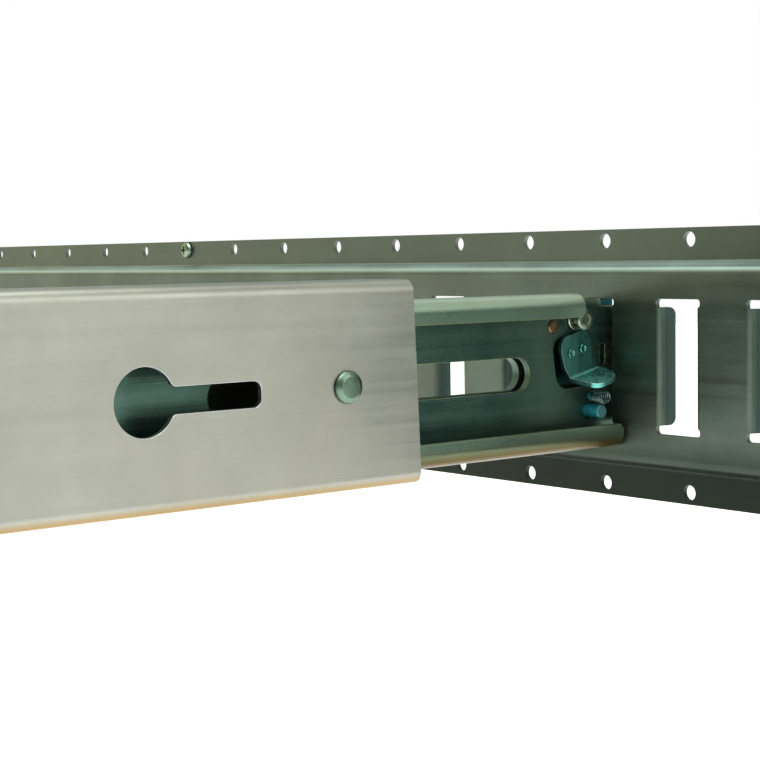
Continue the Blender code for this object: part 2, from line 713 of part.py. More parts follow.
def latch_spring(name):
    """A torsion spring: a leg beside the pin, the coil, and a leg under the tongue."""
    centre_y, centre_z = SPRING_AXIS
    start_x, end_x = SPRING_X
    points = [(start_x, centre_y + SPRING_RADIUS, SPRING_PIN[1] - 0.001)]
    steps = round(SPRING_TURNS * SPRING_STEPS)
    for step in range(steps + 1):
        angle = 2 * math.pi * step / SPRING_STEPS
        x = start_x + (end_x - start_x) * step / steps
        points.append((x, centre_y + SPRING_RADIUS * math.cos(angle), centre_z + SPRING_RADIUS * math.sin(angle)))
    points.append((end_x, centre_y - SPRING_LEG, centre_z + SPRING_RADIUS))
    data = bpy.data.curves.new(name, "CURVE")
    data.dimensions = "3D"
    data.bevel_depth = SPRING_WIRE
    data.bevel_resolution = 2
    data.use_fill_caps = True
    spline = data.splines.new("POLY")
    spline.points.add(len(points) - 1)
    for point, position in zip(spline.points, points):
        point.co = (*position, 1.0)
    curve = bpy.data.objects.new(name, data)
    PARTS.objects.link(curve)
    return curve_to_mesh(curve, PARTS)


def pin(name, spot, profile, steps=14):
    return turned(name, profile, (0.0, spot[0], spot[1]), PARTS, steps)


def pivot_rivet(name):
    back, r = HOOK_PLATE_X[0] - GAP, PIVOT_RADIUS
    front = WEB_X[1] + GAP
    return pin(name, PIVOT, [
        (0.0, front + 0.0007), (r + 0.0003, front + 0.0006), (r + 0.0008, front), (r, front),
        (r, back), (0.0045, back), (0.0040, back - 0.0012), (0.0, back - 0.0018),
    ])


def stop_stud(name):
    back, r = HOOK_PLATE_X[0] - GAP, STUD_RADIUS
    low, high = STUD_HEAD_X
    return pin(name, STUD, [
        (0.0, high), (0.0032, high - 0.0002), (STUD_HEAD_RADIUS - 0.0003, high - 0.0008),
        (STUD_HEAD_RADIUS, high - 0.0013), (STUD_HEAD_RADIUS - 0.0002, low), (r, low),
        (r, back), (0.0040, back), (0.0036, back - 0.0012), (0.0, back - 0.0018),
    ])


def stop_washer(name):
    low = WEB_X[1] + GAP
    outlines = [circle(STUD, STUD_HEAD_RADIUS, 16), circle(STUD, STUD_RADIUS + GAP, HOLE_STEPS)]
    return prism(name, "YZ", outlines, (low, low + 0.0012), PARTS)


def spring_pin(name):
    back, r, tip = HOOK_PLATE_X[0] - GAP, SPRING_PIN_RADIUS, SPRING_PIN_TIP_X
    return pin(name, SPRING_PIN, [
        (0.0, tip), (r - 0.0004, tip), (r, tip - 0.0004),
        (r, back), (0.0040, back), (0.0036, back - 0.0012), (0.0, back - 0.0018),
    ])


def spring_arbor(name):
    back, r, tip = WEB_X[0] + GAP, ARBOR_RADIUS, ARBOR_TIP_X
    return pin(name, SPRING_AXIS, [(0.0, tip), (r - 0.0003, tip), (r, tip - 0.0003), (r, back), (0.0, back)])


def plate_rivet(name, z):
    """A shouldered rivet that holds the two plates apart."""
    back, r = HOOK_PLATE_X[0] - GAP, PIVOT_RADIUS
    front = WEB_X[1] + GAP
    low, high = HOOK_PLATE_X[1] + GAP, WEB_X[0] - GAP
    return pin(name, (PLATE_RIVET_Y, z), [
        (0.0, front + 0.0016), (0.0030, front + 0.0012), (0.0040, front), (r, front),
        (r, high), (0.0040, high), (0.0040, low), (r, low),
        (r, back), (0.0045, back), (0.0040, back - 0.0012), (0.0, back - 0.0018),
    ])


def trigger_rivet(name, spot):
    """A small rivet, its dimpled head on the tab and its tail flush in the lever."""
    front, r = TAB_X[1] + GAP, TRIGGER_RIVET_RADIUS
    return pin(name, on_tab(*spot), [
        (0.0, front + 0.0003), (TRIGGER_HEAD_RADIUS * 0.45, front + 0.0006),
        (TRIGGER_HEAD_RADIUS * 0.8, front + 0.0006), (TRIGGER_HEAD_RADIUS, front),
        (r, front), (r, LEVER_X[0] + GAP), (0.0, LEVER_X[0] + GAP),
    ], steps=12)


def mirror_along_bar(item):
    """Turn a near-end piece into its far-end twin, in the same frame."""
    bake(item)
    mirror = Matrix.Translation((0, 2 * BAR_CENTRE_Y, 0)) @ Matrix.Scale(-1, 4, Vector((0, 1, 0)))
    item.data.transform(mirror @ item.matrix_world)
    item.data.flip_normals()
    item.matrix_world = Matrix.Identity(4)


def build_head(end):
    """One whole head. The far head is the near one mirrored about the bar's middle."""
    fixed = (
        ("head_channel", head_channel, HEAD_ZINC),
        ("hook_plate", hook_plate, HOOK_ZINC),
        ("pivot_rivet", pivot_rivet, PIVOT_STEEL),
        ("stop_stud", stop_stud, RIVET_STEEL),
        ("stop_washer", stop_washer, RIVET_STEEL),
        ("spring_pin", spring_pin, PIN_STEEL),
        ("spring_arbor", spring_arbor, PIN_STEEL),
        ("latch_spring", latch_spring, SPRING_STEEL),
        ("plate_rivet_lower", plate_rivet, PIN_STEEL, PLATE_RIVET_Z[0]),
        ("plate_rivet_upper", plate_rivet, PIN_STEEL, PLATE_RIVET_Z[1]),
    )
    swinging = (
        ("latch_lever", latch_lever, HOOK_ZINC),
        ("trigger_spacer", trigger_spacer, HOOK_ZINC),
        ("trigger_tab", trigger_tab, TAB_ZINC),
        ("trigger_rivet_rear", trigger_rivet, RIVET_STEEL, TRIGGER_RIVETS[0]),
        ("trigger_rivet_front", trigger_rivet, RIVET_STEEL, TRIGGER_RIVETS[1]),
    )
    is_far = end == "far"
    head_y = from_far_end(0.0) if is_far else 0.0
    pivot_y = from_far_end(PIVOT[0]) if is_far else PIVOT[0]
    head = add_empty("head_frame_" + end, (0.0, head_y, 0.0))
    axis = add_empty("latch_axis_" + end, (0.0, pivot_y, PIVOT[1]), head)
    for carrier, pieces in ((head, fixed), (axis, swinging)):
        for label, build, finish, *where in pieces:
            item = build(label + "_" + end, *where)
            bpy.context.view_layer.update()
            if is_far:
                mirror_along_bar(item)
            add_finish(item, finish)
            place(item, carrier)


clear_scene()
PARTS = new_collection("cargo_bar_and_rail")
CUTTERS = new_collection("cutters")
build_rail()
build_screw()
build_bar()
for bar_end in ("near", "far"):
    build_head(bar_end)
for part in PARTS.objects:
    if part.type == "MESH":
        smooth(part)
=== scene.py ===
"""The looks of a telescoping cargo bar latched into a slotted wall rail.

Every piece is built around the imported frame, in metres: +X runs along the
rail, +Y into the wall and +Z up. The far head is the near one mirrored about
the bar's middle.
"""

import json
import math

import bmesh
import bpy
from mathutils import Matrix, Vector


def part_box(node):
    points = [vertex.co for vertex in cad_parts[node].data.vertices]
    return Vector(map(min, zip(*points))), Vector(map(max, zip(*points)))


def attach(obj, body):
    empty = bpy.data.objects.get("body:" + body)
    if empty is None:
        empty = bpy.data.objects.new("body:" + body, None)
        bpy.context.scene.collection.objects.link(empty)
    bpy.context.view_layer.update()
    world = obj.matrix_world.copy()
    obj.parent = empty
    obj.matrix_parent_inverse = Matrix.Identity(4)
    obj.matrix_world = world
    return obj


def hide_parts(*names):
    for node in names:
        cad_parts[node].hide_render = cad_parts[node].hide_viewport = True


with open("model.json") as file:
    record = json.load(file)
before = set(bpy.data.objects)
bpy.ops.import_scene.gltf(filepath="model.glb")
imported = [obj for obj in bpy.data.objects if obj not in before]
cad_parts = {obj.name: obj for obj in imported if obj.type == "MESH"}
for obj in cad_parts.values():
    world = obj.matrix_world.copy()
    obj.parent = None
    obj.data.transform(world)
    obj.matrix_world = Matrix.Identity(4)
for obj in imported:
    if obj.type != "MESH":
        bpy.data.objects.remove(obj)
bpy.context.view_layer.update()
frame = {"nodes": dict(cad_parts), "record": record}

# ------------------------------------------------------------ sizes

RAIL_LOW, RAIL_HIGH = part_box("slotted_rail")
TUBE_LOW, TUBE_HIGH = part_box("bar_tube")
CHANNEL_LOW, CHANNEL_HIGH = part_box("head_channel_near")
PLATE_LOW, PLATE_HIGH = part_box("hook_plate_near")
LEVER_LOW, LEVER_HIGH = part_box("latch_lever_near")
SPACER_LOW, SPACER_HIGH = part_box("trigger_spacer_near")
MIDDLE_Y = (TUBE_LOW.y + TUBE_HIGH.y) / 2

PITCH = 0.0508
RAIL_SHEET = 0.0026
FACE_HALF = 0.044
FLANGE_INNER = 0.0475
RAIL_OUTER_BEND = 0.004
RAIL_INNER_BEND = 0.0016
SLOT_HALF_HEIGHT = 0.0306
SLOT_HALF_WIDTH = 0.0127
SLOT_CORNER = 0.0016
LIP_HALF_HEIGHT = 0.0268
LIP_BEND = math.radians(76.0)
LIP_BEND_RADIUS = 0.0027
LIP_STRAIGHT = 0.0069
LIP_FILLET = 0.0016
LIP_CORNER = 0.0035
SCREW_ROW = 0.0571
SCREW_HOLE = 0.00355

TUBE_WALL = 0.0025
TUBE_BEND = 0.005
KEYHOLE_FROM_END = 0.1301
KEYHOLE_RADIUS = 0.013
KEYHOLE_HALF = 0.0051
KEYHOLE_REACH = 0.0516
KEYHOLE_BLEND = 0.0025
KEYHOLE_END = 0.0035
RIVET_FROM_END = 0.0367
RIVET_HOLE = 0.0048
TUBE_END_SLANT = 0.039

HEAD_SHEET = 0.003
HEAD_BEND = 0.006
LIP_DEPTH = 0.0107
TOP_END = -0.0373
SHOULDER_TOP = 0.0312
SHOULDER_END = -0.0132
NECK_TOP = 0.0272
NECK_BOTTOM = -0.0299
BOTTOM_END = -0.0123
TOE_FRONT = -0.0077
TRAVEL_SLOT = (-0.2325, -0.0598)
TRAVEL_SLOT_Z = -0.002
TRAVEL_SLOT_HALF = 0.0076
PLATE_RIVET_Y = -0.246
PLATE_RIVET_Z = {"lower": -0.016, "upper": 0.012}

PIVOT = (-0.0446, 0.0186)
STUD = (-0.0308, 0.0215)
SPRING_PIN = (-0.0223, -0.021)
SPRING_AXIS = (-0.0206, -0.0146)
SPRING_RADIUS = 0.0026
SPRING_PIN_RADIUS = 0.0033
PIN_HOLE = 0.0028
HOLE_GAP = 0.0003
ARBOR_RADIUS = 0.0019
RIVET_TINY_HOLE = 0.0018
LATCH_TRAVEL = 12.0

FOLD_START = (-0.0392, -0.0046)
FOLD_TILT = 14.4
TAB_X = (0.0078, 0.0100)
TAB_WIDTH = 0.019
TAB_HEIGHT = 0.0178
TONGUE_LENGTH = 0.0152
TONGUE_ENDS = (0.0075, 0.0225)
TONGUE_BEND = 72.0
TONGUE_BEND_RADIUS = 0.0018
TRIGGER_RIVETS = {"rear": (0.0057, 0.0097), "front": (0.0135, 0.0097)}
TRIGGER_HEAD = 0.0027
LEVER_TOP = 0.030
NOSE_TOP_BACK = -0.0036
TOE_BOTTOM = CHANNEL_LOW.z + 0.0039

FLOOR_Z = -0.55
SKY_POWER = 1.7
SKY_SPREAD = math.radians(60.0)

# What the metal mirrors: a dim room and its glows, each (towards, from and to cosine, colour).
ROOM_BASE = (0.14, 0.25, 0.26)
ROOM_GLOWS = (
    ((0, 0, 1), 0.1, 0.95, (0.75, 0.68, 0.55)),
    ((0, 0, 1), 0.8, 1.0, (1.6, 1.5, 1.5)),
    ((0.85, 0.5, 0.1), 0.45, 0.97, (0.42, 0.34, 0.25)),
    ((-0.94, -0.34, 0.05), 0.6, 1.0, (1.1, 0.86, 0.48)),
)


# ------------------------------------------------------------ outlines

def arc(centre, radius, start, end, steps):
    """Points on an arc between two angles in degrees, both ends included."""
    points = []
    for step in range(steps + 1):
        angle = math.radians(start + (end - start) * step / steps)
        points.append((centre[0] + radius * math.cos(angle), centre[1] + radius * math.sin(angle)))
    return points


def circle(centre, radius, steps=40):
    return arc(centre, radius, 0.0, 360.0 - 360.0 / steps, steps - 1)


def round_corner(before, corner, after, radius, steps):
    corner = Vector(corner)
    towards_before = (Vector(before) - corner).normalized()
    towards_after = (Vector(after) - corner).normalized()
    half_angle = towards_before.angle(towards_after) / 2
    centre = corner + (towards_before + towards_after).normalized() * radius / math.sin(half_angle)
    tangent = radius / math.tan(half_angle)
    first = corner + towards_before * tangent - centre
    last = corner + towards_after * tangent - centre
    start = math.degrees(math.atan2(first.y, first.x))
    turn = math.degrees(math.atan2(first.x * last.y - first.y * last.x, first.dot(last)))
    return arc(centre, radius, start, start + turn, steps)


def rounded(corners, closed=True, steps=10):
    """A polyline through (a, b, radius) corners, each rounded by an arc."""
    points = []
    count = len(corners)
    for index, (a, b, radius) in enumerate(corners):
        at_end = not closed and index in (0, count - 1)
        if radius == 0.0 or at_end:
            points.append((a, b))
            continue
        before = corners[index - 1][:2]
        after = corners[(index + 1) % count][:2]
        points.extend(round_corner(before, (a, b), after, radius, steps))
    return points


def box_corners(a_range, b_range, radius):
    (a_low, a_high), (b_low, b_high) = a_range, b_range
    return [
        (a_low, b_low, radius), (a_high, b_low, radius),
        (a_high, b_high, radius), (a_low, b_high, radius),
    ]


def stadium(a_range, centre_b, radius):
    low, high = a_range
    right = arc((high - radius, centre_b), radius, -90, 90, 24)
    left = arc((low + radius, centre_b), radius, 90, 270, 24)
    return right + left


def arc_slot(centre, path_radius, start, end, half_width):
    """A slot of constant width that follows an arc."""
    def on_path(angle):
        turn = math.radians(angle)
        return (centre[0] + path_radius * math.cos(turn), centre[1] + path_radius * math.sin(turn))
    outer = arc(centre, path_radius + half_width, start, end, 8)
    end_cap = arc(on_path(end), half_width, end, end + 180, 12)[1:-1]
    inner = arc(centre, path_radius - half_width, end, start, 8)
    start_cap = arc(on_path(start), half_width, start + 180, start + 360, 12)[1:-1]
    return outer + end_cap + inner + start_cap


def keyhole(centre_y, mouth):
    """Round hole with a narrower slot that runs towards the tube's mouth (+1 or -1)."""
    blend_z = KEYHOLE_HALF + KEYHOLE_BLEND
    blend_y = math.sqrt((KEYHOLE_RADIUS + KEYHOLE_BLEND) ** 2 - blend_z ** 2)
    meet = math.degrees(math.atan2(blend_z, blend_y))
    upper = arc((0, 0), KEYHOLE_RADIUS, 180, meet, 36)
    upper += arc((blend_y, blend_z), KEYHOLE_BLEND, 180 + meet, 270, 8)[1:]
    upper += arc((KEYHOLE_REACH - KEYHOLE_END, KEYHOLE_HALF - KEYHOLE_END), KEYHOLE_END, 90, 0, 10)
    lower = [(y, -z) for y, z in reversed(upper[1:])]
    return [(centre_y + mouth * y, z) for y, z in upper + lower]


def on_tab(u, v):
    """A place on the trigger, u along its fold and v up from it, as (y, z)."""
    tilt = math.radians(FOLD_TILT)
    y = FOLD_START[0] + u * math.cos(tilt) - v * math.sin(tilt)
    z = FOLD_START[1] + u * math.sin(tilt) + v * math.cos(tilt)
    return (y, z)


# ------------------------------------------------------------ mesh helpers

def new_piece(name, shape):
    mesh = bpy.data.meshes.new(name)
    shape.to_mesh(mesh)
    shape.free()
    piece = bpy.data.objects.new(name, mesh)
    bpy.context.scene.collection.objects.link(piece)
    return piece


def apply_modifiers(piece):
    bpy.context.view_layer.update()
    depsgraph = bpy.context.evaluated_depsgraph_get()
    mesh = bpy.data.meshes.new_from_object(piece.evaluated_get(depsgraph))
    piece.modifiers.clear()
    piece.data = mesh
    return piece


def merge_flats(piece):
    """Weld a mesh and merge its coplanar triangles, so that edges can be rounded evenly."""
    shape = bmesh.new()
    shape.from_mesh(piece.data)
    bmesh.ops.remove_doubles(shape, verts=shape.verts, dist=1e-6)
    bmesh.ops.dissolve_limit(shape, angle_limit=math.radians(0.4), verts=shape.verts, edges=shape.edges)
    bmesh.ops.recalc_face_normals(shape, faces=shape.faces)
    shape.to_mesh(piece.data)
    shape.free()


def round_edges(piece, width=0.0003, segments=2):
    """Small rounded edges, in the piece's second material, which on most slots is lighter as a painted
    highlight, and even shading.
    """
    for polygon in piece.data.polygons:
        polygon.use_smooth = True
    bevel = piece.modifiers.new("Edges", "BEVEL")
    bevel.width = width
    bevel.segments = segments
    bevel.limit_method = "ANGLE"
    bevel.angle_limit = math.radians(40)
    bevel.use_clamp_overlap = True
    bevel.loop_slide = False
    bevel.material = 1
    normals = piece.modifiers.new("Normals", "WEIGHTED_NORMAL")
    normals.keep_sharp = True
    normals.weight = 80
    return piece


def prism(name, plane, outlines, span):
    """Flat outlines in one plane, holes among them, given their thickness."""
    data = bpy.data.curves.new(name, "CURVE")
    data.dimensions = "2D"
    data.fill_mode = "BOTH"
    data.extrude = (span[1] - span[0]) / 2
    for outline in outlines:
        spline = data.splines.new("POLY")
        spline.points.add(len(outline) - 1)
        for point, (a, b) in zip(spline.points, outline):
            point.co = (a, b, 0.0, 1.0)
        spline.use_cyclic_u = True
    curve = bpy.data.objects.new(name, data)
    bpy.context.scene.collection.objects.link(curve)
    bpy.context.view_layer.update()
    mesh = bpy.data.meshes.new_from_object(curve.evaluated_get(bpy.context.evaluated_depsgraph_get()))
    bpy.data.objects.remove(curve, do_unlink=True)
    centre = (span[0] + span[1]) / 2
    turn = {
        "YZ": Matrix(((0, 0, 1, centre), (1, 0, 0, 0), (0, 1, 0, 0), (0, 0, 0, 1))),
        "XZ": Matrix(((1, 0, 0, 0), (0, 0, -1, centre), (0, 1, 0, 0), (0, 0, 0, 1))),
        "XY": Matrix.Translation((0, 0, centre)),
    }[plane]
    mesh.transform(turn)
    piece = bpy.data.objects.new(name, mesh)
    bpy.context.scene.collection.objects.link(piece)
    merge_flats(piece)
    return piece


def turned(name, profile, centre, axis="X", steps=48):
    """A piece turned about X, or about -Y. The profile gives (radius, height), tip first."""
    shape = bmesh.new()
    points = [shape.verts.new((radius, 0.0, height)) for radius, height in profile]
    for pair in zip(points, points[1:]):
        shape.edges.new(pair)
    piece = new_piece(name, shape)
    screw = piece.modifiers.new("Turn", "SCREW")
    screw.steps = steps
    screw.render_steps = steps
    screw.use_merge_vertices = True
    screw.merge_threshold = 1e-6
    screw.use_smooth_shade = True
    apply_modifiers(piece)
    turn = Matrix.Rotation(math.pi / 2, 4, "Y" if axis == "X" else "X")
    piece.data.transform(Matrix.Translation(centre) @ turn)
    for polygon in piece.data.polygons:
        polygon.use_smooth = True
    piece.data.set_sharp_from_angle(angle=math.radians(35))
    return piece


def soft_profile(corners, steps=4):
    """A turned profile whose corners are rounded."""
    return rounded(corners, closed=False, steps=steps)


def fill(shape, outline, holes):
    """Fill a flat region between an outline and its holes, all loops of vertices."""
    edges = []
    for loop in [outline] + holes:
        for pair in zip(loop, loop[1:] + loop[:1]):
            edges.append(shape.edges.get(pair) or shape.edges.new(pair))
    bmesh.ops.triangle_fill(shape, use_beauty=True, edges=edges)


def fold(shape, pair, path, ends, place):
    """Carry a sheet on from one edge along a path, straight from one end to the other."""
    for a, b in path:
        step = [shape.verts.new(place(a, b, end)) for end in ends]
        shape.faces.new((pair[0], pair[1], step[1], step[0]))
        pair = step
    return pair


def thicken(piece, thickness, outward):
    """Turn an open sheet into metal. Its furthest face in the outward direction is on its drawn side."""
    outward = Vector(outward)
    shape = bmesh.new()
    shape.from_mesh(piece.data)
    bmesh.ops.recalc_face_normals(shape, faces=shape.faces)
    furthest = max(shape.faces, key=lambda face: face.calc_center_median().dot(outward))
    if furthest.normal.dot(outward) < 0:
        bmesh.ops.reverse_faces(shape, faces=shape.faces)
    shape.to_mesh(piece.data)
    shape.free()
    solidify = piece.modifiers.new("Sheet", "SOLIDIFY")
    solidify.thickness = thickness
    solidify.offset = -1.0
    solidify.use_even_offset = True
    apply_modifiers(piece)
    merge_flats(piece)
    return piece


# ------------------------------------------------------------ rail

def slot_centres():
    count = round((RAIL_HIGH.x - RAIL_LOW.x) / PITCH)
    return [RAIL_LOW.x + PITCH * (index + 0.5) for index in range(count)]


def slot_loop(shape, x, face_y):
    """The slot's outline on the face, and the edge that each of its lips starts from."""
    def add(a, b):
        return shape.verts.new((x + a, face_y, b))
    half, tall, round_by = SLOT_HALF_WIDTH, SLOT_HALF_HEIGHT, SLOT_CORNER
    lip_top = LIP_HALF_HEIGHT + LIP_FILLET
    right = [add(half, lip_top), add(half, -lip_top)]
    bottom = [add(a, b) for a, b in arc((half - round_by, round_by - tall), round_by, 0, -90, 6)]
    bottom += [add(a, b) for a, b in arc((round_by - half, round_by - tall), round_by, -90, -180, 6)]
    left = [add(-half, -lip_top), add(-half, lip_top)]
    top = [add(a, b) for a, b in arc((round_by - half, tall - round_by), round_by, 180, 90, 6)]
    top += [add(a, b) for a, b in arc((half - round_by, tall - round_by), round_by, 90, 0, 6)]
    return right + bottom + left + top, right, left[::-1]


def lip_blank():
    """A slot's lip before it is bent, u from the slot's edge, cut across where it will bend."""
    reach = LIP_BEND_RADIUS * LIP_BEND + LIP_STRAIGHT
    half = arc((LIP_FILLET, LIP_HALF_HEIGHT + LIP_FILLET), LIP_FILLET, 180, 270, 6)
    half += arc((reach - LIP_CORNER, LIP_HALF_HEIGHT - LIP_CORNER), LIP_CORNER, 90, 0, 10)
    blank = bmesh.new()
    blank.faces.new([blank.verts.new((u, 0.0, z)) for u, z in half + [(u, -z) for u, z in reversed(half)]])
    cuts = 9
    for step in range(1, cuts + 1):
        level = LIP_BEND_RADIUS * LIP_BEND * step / cuts
        geometry = blank.verts[:] + blank.edges[:] + blank.faces[:]
        bmesh.ops.bisect_plane(blank, geom=geometry, plane_co=(level, 0, 0), plane_no=(1, 0, 0), dist=1e-6)
    return blank


def bend_lip(shape, blank, edge, x, face_y, side):
    """Add a lip to the rail, bent back from one long edge of a slot."""
    placed = {}
    for vertex in blank.verts:
        u, z = vertex.co.x, vertex.co.z
        if u < 1e-6:
            placed[vertex] = edge[0] if z > 0 else edge[1]
            continue
        turn = min(u / LIP_BEND_RADIUS, LIP_BEND)
        straight = max(u - LIP_BEND_RADIUS * LIP_BEND, 0.0)
        inset = LIP_BEND_RADIUS * math.sin(turn) + straight * math.cos(LIP_BEND)
        depth = LIP_BEND_RADIUS * (1 - math.cos(turn)) + straight * math.sin(LIP_BEND)
        placed[vertex] = shape.verts.new((x + side * (SLOT_HALF_WIDTH - inset), face_y + depth, z))
    for face in blank.faces:
        shape.faces.new([placed[vertex] for vertex in face.verts])


def build_rail():
    face_y, flange_y = RAIL_LOW.y, RAIL_HIGH.y - RAIL_SHEET
    ends = (RAIL_LOW.x, RAIL_HIGH.x)
    steps = 10
    path = rounded([
        (flange_y, RAIL_LOW.z, 0.0),
        (flange_y, -FLANGE_INNER, RAIL_INNER_BEND),
        (face_y, -FACE_HALF, RAIL_OUTER_BEND),
        (face_y, FACE_HALF, RAIL_OUTER_BEND),
        (flange_y, FLANGE_INNER, RAIL_INNER_BEND),
        (flange_y, RAIL_HIGH.z, 0.0),
    ], closed=False, steps=steps)
    shape = bmesh.new()
    pairs = [[shape.verts.new((x, y, z)) for x in ends] for y, z in path]
    lower_flange, face, upper_flange = 0, 2 * (steps + 1), 4 * (steps + 1)
    blank = lip_blank()
    for index, (low, high) in enumerate(zip(pairs, pairs[1:])):
        outline = [low[0], low[1], high[1], high[0]]
        holes = []
        if index in (lower_flange, upper_flange):
            row = SCREW_ROW if index == upper_flange else -SCREW_ROW
            for x in slot_centres():
                holes.append([shape.verts.new((a, flange_y, b)) for a, b in circle((x, row), SCREW_HOLE, 32)])
        if index == face:
            for x in slot_centres():
                loop, right, left = slot_loop(shape, x, face_y)
                holes.append(loop)
                bend_lip(shape, blank, right, x, face_y, 1)
                bend_lip(shape, blank, left, x, face_y, -1)
        if holes:
            fill(shape, outline, holes)
        else:
            shape.faces.new(outline)
    blank.free()
    rail = new_piece("rail_sheet", shape)
    return round_edges(thicken(rail, RAIL_SHEET, (0, -1, 0)), 0.00035)


def build_screw():
    low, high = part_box("rail_screw")
    x, z = (low.x + high.x) / 2, (low.z + high.z) / 2
    radius = (high.x - low.x) / 2
    seat = RAIL_HIGH.y - RAIL_SHEET - 0.0003
    top = seat - low.y
    length = high.y - seat
    thread = []
    turns = 14
    for turn in range(turns):
        height = -0.0004 - turn * (length * 0.8) / turns
        thread += [(0.0022, height), (0.0027, height - 0.0003)]
    profile = soft_profile([
        (0.0, top, 0.0), (radius * 0.55, top * 0.94, 0.0006), (radius * 0.88, top * 0.68, 0.0006),
        (radius, top * 0.3, 0.0004), (radius, 0.0, 0.0), (0.0027, 0.0, 0.0),
    ]) + thread + [(0.0018, -length * 0.86), (0.0, -length)]
    screw = turned("rail_pan_screw", profile, (x, seat, z), axis="Y")
    arm, reach = 0.0006, 0.0026
    depth = (low.y - 0.001, low.y + top * 0.55)
    for half_x, half_z in ((reach, arm), (arm, reach)):
        corners = box_corners((x - half_x, x + half_x), (z - half_z, z + half_z), 0.0002)
        cutter = prism("recess", "XZ", [rounded(corners, steps=2)], depth)
        cut = screw.modifiers.new("Recess", "BOOLEAN")
        cut.object = cutter
        cut.solver = "EXACT"
        apply_modifiers(screw)
        bpy.data.objects.remove(cutter, do_unlink=True)
    screw.data.set_sharp_from_angle(angle=math.radians(35))
    return screw


# ------------------------------------------------------------ bar

def mirrored_y(y):
    return 2 * MIDDLE_Y - y


def build_tube():
    steps = 12
    corners = box_corners((TUBE_LOW.x, TUBE_HIGH.x), (TUBE_LOW.z, TUBE_HIGH.z), TUBE_BEND)
    path = rounded(corners, steps=steps)
    mouth_y = TUBE_HIGH.y - TUBE_END_SLANT * TUBE_HIGH.z
    keyhole_y = mouth_y - KEYHOLE_FROM_END
    rivet_y = mouth_y - RIVET_FROM_END
    rivet_outlines = [circle((y, 0.0), RIVET_HOLE) for y in (rivet_y, mirrored_y(rivet_y))]
    keyholes = [keyhole(keyhole_y, 1), keyhole(mirrored_y(keyhole_y), -1)]
    near_wall, far_wall = steps + (steps + 1), 3 * (steps + 1) + steps
    outlines = {near_wall: rivet_outlines + keyholes, far_wall: rivet_outlines}
    wall_x = {near_wall: TUBE_HIGH.x, far_wall: TUBE_LOW.x}

    shape = bmesh.new()
    pairs = []
    for x, z in path:
        end_y = mouth_y - TUBE_END_SLANT * z
        pairs.append([shape.verts.new((x, y, z)) for y in (end_y, mirrored_y(end_y))])
    for index, low in enumerate(pairs):
        high = pairs[(index + 1) % len(pairs)]
        outline = [low[0], low[1], high[1], high[0]]
        if index not in outlines:
            shape.faces.new(outline)
            continue
        holes = []
        for loop in outlines[index]:
            holes.append([shape.verts.new((wall_x[index], y, z)) for y, z in loop])
        fill(shape, outline, holes)
    tube = new_piece("bar_tube_body", shape)
    return round_edges(thicken(tube, TUBE_WALL, (1, 0, 0)), 0.00035)


def build_travel_rivet():
    """A peened rivet through both walls of the tube, near end."""
    low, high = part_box("travel_rivet_near")
    radius = (high.z - low.z) / 2
    tall = 0.0025
    head = [
        (0.0, high.x, 0.0), (radius * 0.66, high.x - 0.0001, 0.0012),
        (radius * 0.93, high.x - tall * 0.42, 0.0009),
        (radius, high.x - tall * 0.8, 0.0006), (radius - 0.0002, high.x - tall, 0.0),
    ]
    near = soft_profile(head, steps=5)
    far = [(r, low.x + high.x - x) for r, x in reversed(near)]
    shank = 0.0045
    profile = near + [(shank, high.x - tall), (shank, low.x + tall)] + far
    return turned("travel_rivet_body", profile, (0.0, (low.y + high.y) / 2, 0.0))


# ------------------------------------------------------------ head

def nose_corners():
    return [
        (TOE_FRONT, NECK_BOTTOM, 0.0004),
        (TOE_FRONT, TOE_BOTTOM, 0.0008),
        (CHANNEL_HIGH.y, TOE_BOTTOM, 0.0014),
        (CHANNEL_HIGH.y, NECK_TOP, 0.0018),
    ]


def plate_holes():
    holes = [stadium(TRAVEL_SLOT, TRAVEL_SLOT_Z, TRAVEL_SLOT_HALF)]
    holes += [circle(spot, PIN_HOLE) for spot in (PIVOT, STUD)]
    holes.append(circle(SPRING_PIN, SPRING_PIN_RADIUS + HOLE_GAP))
    holes += [circle((PLATE_RIVET_Y, z), PIN_HOLE) for z in PLATE_RIVET_Z.values()]
    return holes


